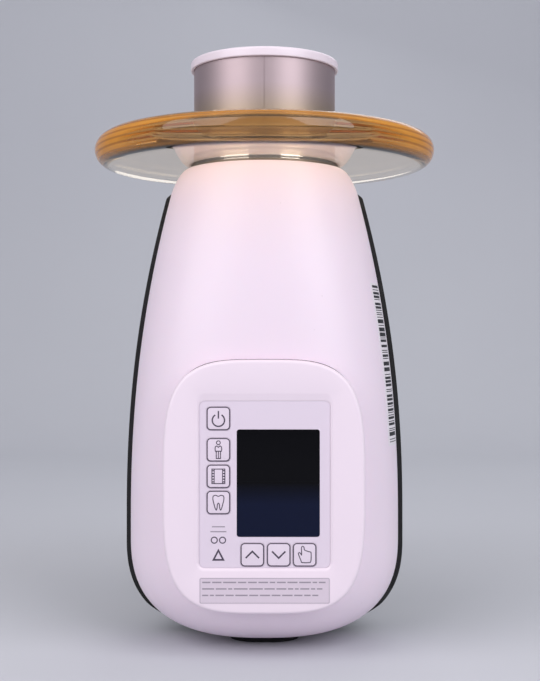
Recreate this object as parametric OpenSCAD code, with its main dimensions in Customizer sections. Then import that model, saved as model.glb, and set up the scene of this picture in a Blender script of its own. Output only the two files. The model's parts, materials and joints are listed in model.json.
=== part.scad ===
// Handheld intraoral x-ray unit, standing on its rear end.
// +Z is the beam axis, -Y is the display side, +Y is the handset side.
// The origin is where the beam axis meets the face that the unit rests on.

/* [Overall] */
// Height of the unit, standing on its rear end
unit_h = 281.5; // [280:0.1:283]
// Distance from the focal spot to the open end of the cone
source_to_skin = 200; // [196:1:204]
// Diameter of the x-ray field at the open end of the cone
field_d = 60; // [40:1:60]

/* [Cone] */
// Outer diameter of the cone tube
cone_d = 69; // [68:0.5:69]
// Wall thickness of the cone tube
cone_wall = 2; // [1.5:0.1:2]
// Length of the cone tube, with the part inside the nose
cone_len = 105.5; // [104:0.5:106.5]
// Thickness of the lead liner inside the cone
liner_t = 1; // [0.8:0.1:1.2]
// Outer diameter of the end ring
end_ring_d = 72; // [71.5:0.1:74]
// Height of the end ring
end_ring_h = 4.4; // [4:0.1:6]

/* [Backscatter shield] */
// Diameter of the shield
shield_d = 165; // [140:1:170]
// Thickness of the shield
shield_t = 14.6; // [10:0.1:15]
// Height of the shield's rear face above the rest face
shield_z = 230; // [230:0.1:233]

/* [Body] */
// Width of the white shell at its widest
body_w = 130; // [128:0.2:136]
// Height of the nose lip above the rest face
body_h = 228.7; // [227:0.1:228.7]
// Depth of the body from the beam axis to the display side
depth_top = 50.2; // [49.5:0.1:50.6]
// Depth of the body from the beam axis to the handset side
depth_under = 51; // [50:0.1:53]
// Wall thickness of the shells
wall = 2.6; // [2:0.1:2.8]
// How far the dark lower shell stands proud of the white shell at its edge
rail = 4; // [1:0.1:4]
// Height of the foot under the rear end, part of the dark lower shell
foot_h = 3.8; // [3:0.1:5]

/* [Control panel] */
// Width of the raised bezel
bezel_w = 91; // [86:0.2:92]
// Height of the raised bezel
bezel_h = 114; // [110:1:118]
// Radius of the bezel's soft edge
bezel_edge = 1.6; // [1:0.1:2.9]
// Width of the keypad overlay
overlay_w = 58.6; // [58:0.1:62]
// Height of the keypad overlay
overlay_h = 74.7; // [74:0.1:78]
// Width of the display window
window_w = 37.05; // [36:0.05:37.5]
// Height of the display window
window_h = 48; // [46:0.1:48.4]
// Side of a square key
key_w = 10.8; // [10:0.1:10.8]
// Travel of a key
key_travel = 0.3; // [0.1:0.05:0.3]

/* [Handset] */
// Rake of the handset away from a right angle to the beam axis, in degrees
rake = 15; // [14:0.5:16]
// Length of the handset outside the body
handset_len = 147.5; // [146:0.5:148]
// Width of the grip
grip_w = 39.6; // [39:0.2:42]
// Depth of the grip, from its trigger side to its back
grip_depth = 48; // [47:0.2:50]
// Wall thickness of the handset shells
handset_wall = 2.2; // [1.8:0.1:2.4]
// Diameter of a battery cell
cell_d = 18.4; // [18:0.1:18.6]
// Length of a battery cell
cell_len = 65; // [64:0.5:65]

/* [Hidden] */

$fn = 64;
eps = 0.01;
gap = 0.2;     // parting gaps between shells, and round the bezel
slip = 0.05;   // radial clearance of turned parts that fit over each other
far = 400;     // longer than any part, for cutting

// Body sections: superellipses whose half sizes follow the height
body_seg = 48;
belly_z = 60;         // height of the widest section
shoulder_z = 215;     // height where the shoulder starts to close in to the nose
shoulder_in = 18.9;   // how much narrower than the belly the shoulder is, a side
shoulder_flat = 8;    // how much shallower the shoulder is, on the display side
shoulder_under = 8.8; // the same on the handset side
taper_power = 2.15;
rear_h = 48;          // height over which each shell rounds off at its rear end
rear_power = 2.6;
rear_flat = 1.2;      // depth by which the rear curve is cut flat, to rest on
nose_power = 2.4;
lip_r = 37;           // outer radius of the nose lip
nose_bore_r = 34.8;   // radius of the opening in the nose
part_line = 8;        // parting line between the shells, behind the beam axis
foot_w = 34;          // width of the foot under the white shell
foot_depth = 24;
foot_y = 1;           // middle of the foot

cone_r = cone_d / 2;
end_lip = 2;          // thickness of the end ring over the tube's end
cone_top = unit_h - end_lip;
cone_base = cone_top - cone_len;
flange_t = 3;
flange_r = cone_r + 6;
focus_z = unit_h - source_to_skin;
liner_r = cone_r - cone_wall - slip;

// Bezel and keypad, from the face inwards
face_y = -52.2;
bezel_z = 80;
bezel_power = 3.7;
bezel_wall = 2.4;
bezel_plate_t = 3;
skirt_y = -37;        // inner end of the bezel's side wall
recess = 1;
overlay_t = 0.8;
overlay_x = 0.3;
overlay_z = 81.15;
window_x = 6.4;
window_z = 81.7;
ledge = 2;            // width of the ledge that the overlay lies on
key_r = 2;
key_proud = 0.15;
key_flange_w = 11.3;
key_flange_t = 0.6;
key_column_x = -20.4;
key_row_z = 49.7;
KEYS = [
    [key_column_x, 110.7], [key_column_x, 96.7], [key_column_x, 84.8], [key_column_x, 73.1],
    [-5.2, key_row_z], [6.6, key_row_z], [18.2, key_row_z]
];
board_y = face_y + 3.8;   // outer face of the keypad board
board_t = 1.2;
board_w = 60;
board_h = 76;
dome_h = 0.5;
panel_screw_x = 27.8;
panel_screw_z = 35.8;
screw_hole = 1.6;         // depth of a keypad screw's hole
main_y = -34;             // outer face of the main board
main_t = 1.6;
standoff_x = 33;

// Chassis and tube head
plate_z = [31, cone_base - 4];  // lower faces of the rear and front plates
plate_t = [3, 4];
side_x = 47.5;
side_t = 3;
tank_y = [-27, 23];
tank_z = [38, 128];
tank_wall = 3;
lid_t = 2.5;
tube_r = 14;
tube_half = 39;
screw_x = 30;
screw_z = [36.5, plate_z[1] - 3.5];
side_screw_z = 76;
side_screw_y = part_line + 5;

// Handset, in its own frame: z runs down the grip from the collar, -y is the trigger side
handset_at = [0, 59, 83];
collar_w = 24;
collar_depth = 27;
base_w = 26;
base_front = 26;
base_rear = 48.2;
base_cap_t = 4.5;
socket_w = 17;
socket_depth = 20;
socket_len = 30;
socket_wall = 1.6;
plug_w = 15.2;
plug_depth = 18.2;
plug_len = 21.5;
tongue_w = 4.5;
tongue_y = [14.2, 17.2];
hook_w = 1.5;
hook_y = 17.6;
latch_travel = 2.5;
pivot = [-15, 22];        // trigger pivot, y and z
pin_r = 2;
trigger_w = 8;
handset_screw_at = [[15, 32], [30, 119]];
cell_z = 57;
base_cell_z = 132;

// ---- shared functions ----

function clamp01(t) = min(1, max(0, t));
function smooth(z, a, b) = let(t = clamp01((z - a) / (b - a))) t * t * (3 - 2 * t);
function spow(v, p) = sign(v) * pow(abs(v), p);

// Corner points of a rounded rectangle, centred
function rounded(w, h, r, n = 5) = [
    for (c = [[1, 1, 0], [-1, 1, 90], [-1, -1, 180], [1, -1, 270]])
    for (i = [0:n])
    let(a = c[2] + 90 * i / n)
    [c[0] * (w / 2 - r) + r * cos(a), c[1] * (h / 2 - r) + r * sin(a)]
];

// Superellipse outline with half sizes a and b
function squircle(a, b, n, steps = 64) = [
    for (i = [0:steps - 1])
    let(t = 360 * i / steps)
    [a * spow(cos(t), 2 / n), b * spow(sin(t), 2 / n)]
];

// Triangles joining rings of n points; each ring starts where the last one ends in the list
function ring_faces(rings, n) = [
    for (r = [0:rings - 2])
    for (i = [0:n - 1])
    let(a = r * n + i, b = r * n + (i + 1) % n, c = a + n, d = b + n)
    each [[a, c, d], [a, d, b]]
];

// ---- body sections ----

function taper(z) = pow(max(0, (z - belly_z) / (shoulder_z - belly_z)), taper_power);

// The rounding of a skin whose rear end lies at height low, in a shell that ends at height base
function rear_curve(z, low, base) =
    let(top = base + rear_h)
    z >= top ? 1 : pow(1 - pow((top - z) / (top - low + rear_flat), rear_power), 1 / rear_power);

function nose_curve(z, top_z) = z <= shoulder_z ? 1
    : pow(max(0, 1 - pow((z - shoulder_z) / (top_z - shoulder_z), nose_power)), 1 / nose_power);

function half_size(z, full, lost, inner, base) =
    let(t = inner ? wall : 0, lip = inner ? nose_bore_r : lip_r)
    (lip + (full - lost * taper(z) - t - lip) * nose_curve(z, body_h - t)) * rear_curve(z, base + t, base);
function section_power(z) = 2.45 - 0.45 * smooth(z, 110, body_h);

// How far the lower shell's edge stands proud at height z
function rail_at(z) = rail * smooth(z, 2, 16) * (1 - smooth(z, 216, 221));

function body_ring(z, inner, proud) =
    let(
        n = 2 / section_power(z),
        base = (1 - proud) * foot_h,
        hx = half_size(z, body_w / 2, shoulder_in, inner, base) + proud * rail_at(z),
        top = half_size(z, depth_top, shoulder_flat, inner, base),
        under = half_size(z, depth_under, shoulder_under, inner, base)
    )
    [
        for (i = [0:body_seg - 1])
        let(t = 360 * i / body_seg)
        [hx * spow(cos(t), n), spow(sin(t), n) * (sin(t) < 0 ? top : under), z]
    ];

// Heights of the sections: close together where the body rounds off at its two ends
function heights(low, high) = let(top = foot_h + rear_h) concat(
    [for (i = [0:9]) low + (top - low) * (1 - cos(9 * i))],
    [for (i = [0:9]) top + (shoulder_z - top) * i / 9],
    [for (i = [1:7]) shoulder_z + (high - shoulder_z) * sin(90 * i / 7)]
);

// The hollow body in one piece, open at the nose; proud is 1 for the lower shell's larger outside
module body_cup(proud) {
    outside = heights((1 - proud) * foot_h, body_h);
    inside = heights(foot_h + wall, body_h - wall);
    last = len(inside) - 1;
    rings = concat(
        [for (z = outside) body_ring(z, false, proud)],
        [[for (p = body_ring(inside[last], true, 0)) [p[0], p[1], body_h]]],
        [for (i = [0:last]) body_ring(inside[last - i], true, 0)]
    );
    count = len(rings);
    polyhedron(
        points = [for (r = rings) each r],
        faces = concat(
            ring_faces(count, body_seg),
            [[for (i = [0:body_seg - 1]) i]],
            [[for (i = [0:body_seg - 1]) count * body_seg - 1 - i]]
        )
    );
}

// Depth of the lower shell's outer face at a point (x, z)
function under_y(x, z) =
    let(n = section_power(z), hx = half_size(z, body_w / 2, shoulder_in, false, 0) + rail_at(z))
    half_size(z, depth_under, shoulder_under, false, 0) * pow(1 - pow(x / hx, n), 1 / n);

// Extrudes an outline drawn in X and Z from y0 inwards to y1
module panel(y0, y1) {
    translate([0, y1, 0])
        rotate([90, 0, 0])
            linear_extrude(y1 - y0)
                children();
}

module bezel_outline(inset) {
    translate([0, bezel_z])
        polygon(squircle(bezel_w / 2 - inset, bezel_h / 2 - inset, bezel_power));
}

// Cylinder along Y from y0 to y1
module y_rod(x, z, r, y0, y1) {
    translate([x, y1, z])
        rotate([90, 0, 0])
            cylinder(r = r, h = y1 - y0);
}

// Cylinder along X from x0 to x1
module x_rod(y, z, r, x0, x1) {
    translate([x0, y, z])
        rotate([0, 90, 0])
            cylinder(r = r, h = x1 - x0);
}

// Box from its lowest to its highest corner
module block(low, high) {
    translate(low)
        cube(high - low);
}

module at_shell_screws() {
    for (x = [-screw_x, screw_x])
        for (z = screw_z)
            translate([x, under_y(screw_x, z), z])
                rotate([90, 0, 0])
                    children();
}

// Helical wire spring along +Z, from z = 0 to z = length
module wire_spring(radius, wire, length, turns) {
    sides = 6;
    steps = 12 * turns;
    rise = (length - 2 * wire) / steps;
    polyhedron(
        points = [
            for (s = [0:steps])
            for (k = [0:sides - 1])
            let(a = 30 * s, b = -360 * k / sides, r = radius + wire * cos(b))
            [r * cos(a), r * sin(a), wire + rise * s + wire * sin(b)]
        ],
        faces = concat(
            ring_faces(steps + 1, sides),
            [[for (k = [0:sides - 1]) k]],
            [[for (k = [0:sides - 1]) (steps + 1) * sides - 1 - k]]
        )
    );
}

// ---- body ----

module upper_shell() {
    color("#f3e8f0")
        difference() {
            intersection() {
                body_cup(0);
                block([-far, -far, -1], [far, part_line - gap / 2, far]);
            }
            panel(-far / 4, -screw_x)
                bezel_outline(-gap);
        }
}

boss_r = 5.5;
boss_y = [39.2, 35.4];   // inner ends of the shell's screw bosses
seat_depth = 4.6;     // depth of a shell screw's seat under the lower shell's face

module lower_shell() {
    color("#17171a")
        difference() {
            union() {
                intersection() {
                    body_cup(1);
                    block([-far, part_line + gap / 2, -1], [far, far, far]);
                }
                linear_extrude(foot_h - gap)
                    translate([0, foot_y])
                        polygon(squircle(foot_w / 2, foot_depth / 2, 2.4, 48));
                in_handset()
                    translate([0, 0, -18])
                        linear_extrude(18 - gap)
                            polygon(squircle(collar_w, collar_depth, 2.4, 48));
                for (x = [-screw_x, screw_x])
                    for (i = [0, 1])
                        let(z = screw_z[i])
                            y_rod(x, z, boss_r, boss_y[i], under_y(screw_x + boss_r, z) - 0.4);
            }
            in_handset()
                translate([0, 0, -socket_len])
                    linear_extrude(2 * socket_len)
                        square([2 * socket_w + gap, 2 * socket_depth + gap], center = true);
            at_shell_screws() {
                translate([0, 0, -far / 8])
                    cylinder(r = 3.2, h = far / 8 + seat_depth);
                cylinder(r = 1.6, h = far / 8);
            }
            for (side = [-1, 1])
                x_rod(side_screw_y, side_screw_z, 1.6, min(0, side * far), max(0, side * far));
            for (side = [0, 180])
                rotate([0, 0, side])
                    x_rod(cos(side) * side_screw_y, side_screw_z, 3, 66, far);
        }
}

module shell_screws() {
    color("#8a8a8e")
        at_shell_screws()
            difference() {
                union() {
                    translate([0, 0, seat_depth - 2])
                        cylinder(r = 2.9, h = 2);
                    translate([0, 0, seat_depth - eps])
                        cylinder(r = 1.5, h = 10);
                }
                translate([0, 0, seat_depth - 3])
                    cylinder(r = 1.3, h = 2, $fn = 6);
            }
}

module side_screws() {
    color("#b9b9bd")
        for (side = [0, 1])
            mirror([side, 0, 0]) {
                difference() {
                    x_rod(side_screw_y, side_screw_z, 2.8, 66, 67.6);
                    x_rod(side_screw_y, side_screw_z, 1.2, 66.8, 68, $fn = 6);
                }
                x_rod(side_screw_y, side_screw_z, 1.5, side_x, 66 + eps);
            }
}

// ---- control panel ----

module control_bezel() {
    steps = 4;
    color("#f6ecf3")
        difference() {
            union() {
                hull()
                    for (i = [0:steps])
                        let(a = 90 * i / steps, y = face_y + bezel_edge * (1 - sin(a)))
                            panel(y, y + 0.4)
                                bezel_outline(bezel_edge * (1 - cos(a)));
                panel(face_y + bezel_edge, skirt_y)
                    bezel_outline(0);
            }
            panel(face_y + bezel_plate_t, skirt_y + 1)
                bezel_outline(bezel_wall);
            panel(face_y - 1, face_y + recess + overlay_t)
                translate([overlay_x, overlay_z])
                    polygon(rounded(overlay_w + gap, overlay_h + gap, 2.5));
            panel(face_y - 1, 0)
                translate([overlay_x, overlay_z])
                    square([overlay_w - 2 * ledge, overlay_h - 2 * ledge], center = true);
            panel(face_y - 1, 0)
                for (i = [4:6])
                    translate(KEYS[i])
                        square(key_flange_w + 2 * gap, center = true);
            at_panel_screws()
                translate([0, 0, -board_y])
                    cylinder(r = 1 - slip, h = screw_hole);
        }
    color("#f6ecf3")
        at_panel_screws()
            difference() {
                translate([0, 0, -board_y])
                    cylinder(r = 1.8, h = board_y - face_y - bezel_plate_t + eps);
                translate([0, 0, -board_y - 1])
                    cylinder(r = 1 - slip, h = 1 + screw_hole);
            }
}

// The keypad board's four screw points; +z points out of the panel
module at_panel_screws() {
    for (x = [-panel_screw_x, panel_screw_x])
        for (z = [-panel_screw_z, panel_screw_z])
            translate([overlay_x + x, 0, overlay_z + z])
                rotate([90, 0, 0])
                    children();
}

module keypad_overlay() {
    color("#e2cfe2")
        panel(face_y + recess, face_y + recess + overlay_t)
            difference() {
                translate([overlay_x, overlay_z])
                    polygon(rounded(overlay_w, overlay_h, 2.4));
                for (k = KEYS)
                    translate(k)
                        polygon(rounded(key_w + gap, key_w + gap, key_r));
                translate([window_x, window_z])
                    polygon(rounded(window_w + gap, window_h + gap, 1.2));
            }
}

// One key: a cap in the overlay's hole, a flange behind it and a stem over its dome
module key(i) {
    at = KEYS[i];
    cap_y = face_y + recess - key_proud;
    flange_y = face_y + recess + overlay_t + 0.1;
    color("#e8d8e8") {
        panel(cap_y, flange_y + eps)
            translate(at)
                polygon(rounded(key_w, key_w, key_r));
        panel(flange_y, flange_y + key_flange_t)
            translate(at)
                polygon(rounded(key_flange_w, key_flange_w, key_r));
        y_rod(at[0], at[1], 1.5, flange_y + key_flange_t - eps, board_y - dome_h - key_travel - slip);
    }
}

module snap_domes() {
    color("#c8c8c2")
        for (k = KEYS)
            translate([k[0], board_y, k[1]])
                rotate([90, 0, 0])
                    cylinder(r1 = 4, r2 = 2.4, h = dome_h);
}

module display_window() {
    color("#0a0a12")
        panel(face_y + recess, face_y + recess + overlay_t)
            translate([window_x, window_z])
                polygon(rounded(window_w, window_h, 1.1));
}

module display_module() {
    color("#9a9aa0")
        panel(face_y + recess + overlay_t + 0.1, board_y + 1)
            translate([window_x, window_z + 1])
                polygon(rounded(window_w + 3.9, window_h + 4, 0.8));
}

module keypad_board() {
    color("#2f6b3c")
        panel(board_y, board_y + board_t)
            difference() {
                translate([overlay_x, overlay_z])
                    polygon(rounded(board_w, board_h, 2));
                translate([window_x, window_z + 1])
                    polygon(rounded(window_w + 4.5, window_h + 4.6, 0.8));
                for (x = [-panel_screw_x, panel_screw_x])
                    for (z = [-panel_screw_z, panel_screw_z])
                        translate([overlay_x + x, overlay_z + z])
                            circle(r = 0.95);
            }
}

module panel_screws() {
    color("#b0b0b4")
        at_panel_screws() {
            translate([0, 0, -board_y - board_t - 1])
                cylinder(r = 1.7, h = 1);
            translate([0, 0, -board_y - board_t - eps])
                cylinder(r = 0.9, h = board_t + screw_hole - 0.1);
        }
}

module main_board() {
    color("#27602f") {
        difference() {
            block([-38, main_y, 42], [38, main_y + main_t, 124]);
            for (x = [-standoff_x, standoff_x])
                for (z = [48, 118])
                    y_rod(x, z, 1.6, main_y - 1, main_y + main_t + 1);
        }
        block([-12, main_y - 1.6, 84], [2, main_y + eps, 98]);
        block([8, main_y - 1.2, 92], [18, main_y + eps, 100]);
        block([-26, main_y - 4, 52], [-6, main_y + eps, 58]);
        block([12, main_y - 3, 56], [24, main_y + eps, 68]);
        y_rod(-20, 106, 4, main_y - 4.4, main_y + eps);
        y_rod(-9, 108, 3, main_y - 4.4, main_y + eps);
    }
}

module board_standoffs() {
    color("#c9a24a")
        for (x = [-standoff_x, standoff_x])
            for (z = [48, 118]) {
                y_rod(x, z, 2.6, main_y + main_t, tank_y[0]);
                y_rod(x, z, 1.5, main_y, main_y + main_t + eps);
            }
}

module buzzer() {
    color("#222226")
        difference() {
            y_rod(24, 112, 6, main_y - 4, main_y);
            y_rod(24, 112, 1, main_y - 5, main_y - 3);
        }
}

// ---- chassis and tube head ----

module chassis_plate(i, depth) {
    translate([0, 0, plate_z[i]])
        linear_extrude(plate_t[i])
            polygon(squircle(side_x + side_t, depth, 2.6, 48));
}

module chassis_frame() {
    color("#9da1a6")
        difference() {
            union() {
                chassis_plate(0, 36);
                chassis_plate(1, 34.5);
                for (side = [0, 1])
                    mirror([side, 0, 0])
                        block([side_x, -12, plate_z[0]], [side_x + side_t, 16, plate_z[1] + eps]);
                for (x = [-screw_x, screw_x])
                    for (i = [0, 1])
                        y_rod(x, screw_z[i], boss_r - 1, tank_y[1] + 1, boss_y[i] - gap);
            }
            at_shell_screws()
                cylinder(r = 1.5 + slip, h = seat_depth + 10.5);
            translate([0, 0, plate_z[1] - 1])
                cylinder(r = 28, h = plate_t[1] + 2);
            at_cone_screws()
                translate([0, 0, -plate_t[1] - 1])
                    cylinder(r = 1.5 + slip, h = plate_t[1] + 2);
            x_rod(side_screw_y, side_screw_z, 1.5 + slip, -far / 4, far / 4);
        }
}

module tube_head_tank() {
    color("#6f757c")
        difference() {
            block([-side_x, tank_y[0] + lid_t, tank_z[0]], [side_x, tank_y[1], tank_z[1]]);
            block(
                [-side_x + tank_wall, tank_y[0], tank_z[0] + tank_wall],
                [side_x - tank_wall, tank_y[1] - tank_wall, tank_z[1] - tank_wall]
            );
            translate([0, 0, tank_z[1] - tank_wall - 1])
                cylinder(r = beam_r(tank_z[1]) + 1, h = tank_wall + 2);
        }
}

module tank_lid() {
    color("#7d8389")
        block([-side_x, tank_y[0], tank_z[0]], [side_x, tank_y[0] + lid_t, tank_z[1]]);
}

// Radius of the x-ray beam at height z
function beam_r(z) = field_d / 2 * (z - focus_z) / source_to_skin;

// A solid of revolution about the x-ray tube's own axis, which lies along X
module along_tube() {
    translate([0, 0, focus_z])
        rotate([0, 90, 0])
            rotate_extrude()
                children();
}

module tube_glass_envelope() {
    neck = 9;
    color("#cfe3ea", 0.5)
        along_tube()
            difference() {
                polygon([
                    [4 + slip, -tube_half], [neck, -tube_half], [tube_r, -tube_half + 8],
                    [tube_r, tube_half - 8], [neck, tube_half], [4 + slip, tube_half]
                ]);
                polygon([
                    [0, -tube_half + 2], [neck - 1.5, -tube_half + 2], [tube_r - 1.5, -tube_half + 9],
                    [tube_r - 1.5, tube_half - 9], [neck - 1.5, tube_half - 2], [0, tube_half - 2]
                ]);
            }
}

target_angle = 20;

module tube_anode() {
    color("#b87333")
        difference() {
            along_tube()
                polygon([[0, -8], [7, -8], [7, 30], [4, 33], [4, 41], [8, 41], [8, 44], [0, 44]]);
            translate([0, 0, focus_z])
                rotate([0, -target_angle, 0])
                    translate([-30, -15, -30])
                        cube([30, 30, 60]);
        }
}

module tube_cathode() {
    color("#a9adb2")
        along_tube()
            polygon([[0, -42], [4, -42], [4, -30], [6.5, -27], [6.5, -15], [3, -15], [2, -17], [0, -17]]);
}

module high_voltage_transformer() {
    color("#5a4632") {
        difference() {
            block([-43, -22, 42], [-3, 18, 64]);
            block([-36, -22 - eps, 47], [-10, 18 + eps, 59]);
        }
        for (x = [-35, -21])
            block([x, -19, 47 - eps], [x + 10, 15, 59 + eps]);
    }
}

module voltage_multiplier() {
    color("#c9b38a") {
        block([12, -20, 97], [44, -18, 124]);
        for (x = [17, 27, 37])
            for (z = [103, 117])
                y_rod(x, z, 4.6, -18 - eps, -6);
    }
}

module aluminium_filter() {
    color("#d5d8da")
        translate([0, 0, tank_z[1]])
            cylinder(r = beam_r(tank_z[1]) + 4, h = 1.5);
}

module collimator_disc() {
    color("#7b7f86")
        difference() {
            translate([0, 0, plate_z[1] - 4])
                cylinder(r = 32, h = 4);
            translate([0, 0, plate_z[1] - 5])
                cylinder(r = beam_r(plate_z[1]), h = 6);
        }
}

// ---- cone and shield ----

module at_cone_screws() {
    for (a = [45:90:315])
        rotate([0, 0, a])
            translate([flange_r - 3, 0, cone_base])
                children();
}

module cone_tube() {
    color("#b7a9a6")
        difference() {
            union() {
                translate([0, 0, cone_base])
                    cylinder(r = flange_r, h = flange_t);
                translate([0, 0, cone_base])
                    cylinder(r = cone_r, h = cone_len);
            }
            translate([0, 0, cone_base - 1])
                cylinder(r = cone_r - cone_wall, h = cone_len + 2);
            at_cone_screws()
                translate([0, 0, -1])
                    cylinder(r = 1.5 + slip, h = flange_t + 2);
        }
}

module cone_screws() {
    color("#9a9a9e")
        at_cone_screws() {
            translate([0, 0, flange_t])
                cylinder(r = 2.4, h = 1.6);
            translate([0, 0, -plate_t[1]])
                cylinder(r = 1.5, h = plate_t[1] + flange_t + eps);
        }
}

module cone_lead_liner() {
    color("#6d7075")
        translate([0, 0, cone_base + 1])
            difference() {
                cylinder(r = liner_r, h = cone_len - 2);
                translate([0, 0, -1])
                    cylinder(r = liner_r - liner_t, h = cone_len);
            }
}

module cone_end_ring() {
    r = end_ring_d / 2;
    low = unit_h - end_ring_h;
    round_top = 1.3;
    round_low = 0.5;
    bore_r = liner_r - liner_t;
    lower = [r - round_low, low + round_low];
    upper = [r - round_top, unit_h - round_top];
    color("#f4ecf1")
        rotate_extrude()
            polygon(concat(
                [[bore_r, cone_top + slip], [cone_r + slip, cone_top + slip], [cone_r + slip, low]],
                [for (a = [-90:30:0]) lower + round_low * [cos(a), sin(a)]],
                [for (a = [0:15:90]) upper + round_top * [cos(a), sin(a)]],
                [[bore_r + 1, unit_h], [bore_r, unit_h - 1]]
            ));
}

module nose_ring() {
    color("#2b2b2e")
        translate([0, 0, body_h + 0.1])
            difference() {
                cylinder(r = cone_r + 1.4, h = shield_z - body_h - 0.2);
                translate([0, 0, -1])
                    cylinder(r = cone_r + slip, h = shield_z - body_h + 2);
            }
}

groove = 2.6;

module shield_disc() {
    r = shield_t / 2;
    color("#c79a5a", 0.6)
        translate([0, 0, shield_z + r])
            rotate_extrude($fn = 96)
                difference() {
                    union() {
                        translate([cone_r + 2 * slip, -r])
                            square([shield_d / 2 - r - cone_r - 2 * slip, shield_t]);
                        translate([shield_d / 2 - r, 0])
                            circle(r = r);
                    }
                    translate([0, -groove / 2])
                        square([cone_r + 2 * slip + groove, groove]);
                }
}

module shield_friction_ring() {
    color("#1d1d20")
        translate([0, 0, shield_z + shield_t / 2])
            rotate_extrude($fn = 96)
                translate([cone_r + 0.03, -groove / 2 + slip])
                    square([groove, groove - 2 * slip]);
}

// ---- handset ----

// The handset's own frame
module in_handset() {
    translate(handset_at)
        rotate([-90 - rake, 0, 0])
            children();
}

function handset_x(z) =
    grip_w / 2 + (collar_w - grip_w / 2) * (1 - smooth(z, 0, 22))
    + (base_w - grip_w / 2) * smooth(z, 104, 124);
function handset_y(z, base, from) =
    grip_depth / 2 + (collar_depth - grip_depth / 2) * (1 - smooth(z, 0, 22))
    + (base - grip_depth / 2) * smooth(z, from, 126);

// Half of a section, outside and then inside, from the back round to the trigger side
function handset_ring(z) =
    let(n = 2 / (2.4 + 0.8 * smooth(z, 104, 124)), m = 14)
    concat(
        [for (i = [0:m]) handset_point(z, 90 - 180 * i / m, n, 0)],
        [for (i = [m:-1:0]) handset_point(z, 90 - 180 * i / m, n, handset_wall)]
    );
function handset_point(z, a, n, t) = [
    (handset_x(z) - t) * spow(abs(cos(a)) < eps ? 0 : cos(a), n),
    spow(sin(a), n) * ((sin(a) > 0 ? handset_y(z, base_rear, 98) : handset_y(z, base_front, 104)) - t),
    z
];

// The right half of the handset's shell, in the handset's frame
module half_handset() {
    top = 0.3;
    low = handset_len - base_cap_t;
    levels = concat([for (i = [0:8]) top + 22 * i / 8], [for (i = [1:4]) 22 + 76 * i / 4],
        [for (i = [1:8]) 98 + 28 * i / 8], [low]);
    rings = [for (z = levels) handset_ring(z)];
    n = len(rings[0]);
    half = n / 2 - 1;
    last = (len(rings) - 1) * n;
    polyhedron(
        points = [for (r = rings) each r],
        faces = concat(
            [for (f = ring_faces(len(rings), n)) [f[2], f[1], f[0]]],
            [for (i = [0:half - 1]) each [[i, i + 1, n - 2 - i], [i, n - 2 - i, n - 1 - i]]],
            [for (i = [0:half - 1]) each [
                [last + n - 2 - i, last + i + 1, last + i],
                [last + n - 1 - i, last + n - 2 - i, last + i]
            ]]
        )
    );
}

module below_floor() {
    translate([-far / 2, -far / 2, -far])
        cube(far);
}

// A handset shell: side 0 is the right one, side 1 the left one
module handset_shell(side) {
    color("#1c1c1f")
        difference() {
            in_handset()
                mirror([side, 0, 0])
                    difference() {
                        union() {
                            translate([slip, 0, 0])
                                half_handset();
                            for (p = handset_screw_at)
                                x_rod(p[0], p[1], 3.2, 3, grip_w / 2 - 3);
                        }
                        block([-1, -far / 8, 15.5], [trigger_w + 0.4, -10, 56.5]);
                        block([-1, 21, 9.6], [6.4, far / 8, 22.4]);
                        x_rod(pivot[0], pivot[1], pin_r + slip, -1, 16.4);
                        for (p = handset_screw_at)
                            x_rod(p[0], p[1], 1.2 + slip, -1, grip_w / 2 - 4);
                        for (p = handset_screw_at)
                            x_rod(p[0], p[1], 2.5, side == 0 ? grip_w / 2 - 6 : far, far + 1);
                    }
            below_floor();
        }
}

module handset_screws() {
    color("#8f8f93")
        in_handset()
            for (p = handset_screw_at) {
                x_rod(p[0], p[1], 2.3, grip_w / 2 - 6, grip_w / 2 - 4);
                x_rod(p[0], p[1], 1.2, -grip_w / 2 + 8, grip_w / 2 - 6 + eps);
            }
}

module handset_plug() {
    color("#303034")
        in_handset()
            difference() {
                union() {
                    block([-plug_w, -plug_depth, -plug_len], [plug_w, plug_depth, 0.4 + eps]);
                    translate([0, 0, 0.4])
                        linear_extrude(4.6)
                            polygon(squircle(20.4, 23.4, 2.4, 48));
                    block([-5, 1.5, 4], [5, 4.5, 21]);
                }
                block(
                    [-tongue_w - 1, tongue_y[0] - latch_travel - 0.5, -plug_len - 1],
                    [tongue_w + 1, far / 8, 6]
                );
                for (x = [-9, -3, 3, 9])
                    translate([x, -6, -plug_len - 1])
                        cylinder(r = 2, h = 2);
            }
}

module plug_contacts() {
    color("#c9a24a")
        in_handset()
            for (x = [-9, -3, 3, 9])
                translate([x, -6, -plug_len])
                    cylinder(r = 1.9, h = 1);
}

module handset_socket() {
    color("#2a2a2e")
        in_handset()
            difference() {
                block([-socket_w, -socket_depth, -socket_len], [socket_w, socket_depth, -0.5]);
                block(
                    [socket_wall - socket_w, socket_wall - socket_depth, 2 - socket_len],
                    [socket_w - socket_wall, socket_depth - socket_wall, 1]
                );
                for (x = [-9, -3, 3, 9])
                    translate([x, -6, -socket_len - 1])
                        cylinder(r = 1 + slip, h = 4);
            }
}

module socket_contacts() {
    color("#d8b25a")
        in_handset()
            for (x = [-9, -3, 3, 9])
                translate([x, -6, -socket_len])
                    cylinder(r = 1, h = socket_len - plug_len - 0.1);
}

module battery_cells() {
    r = cell_d / 2;
    color("#3c6ea5")
        in_handset() {
            for (y = [-r - 0.4, r + 0.4])
                translate([0, y, cell_z])
                    cylinder(r = r, h = cell_len);
            translate([0, -21, base_cell_z])
                rotate([-90, 0, 0])
                    cylinder(r = r, h = cell_len);
        }
}

module battery_board() {
    color("#2f6b3c")
        in_handset()
            block([-12, -8, cell_z - 2.2], [12, 17, cell_z - 0.6]);
}

charge_y = [4, 14, 24];

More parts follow.
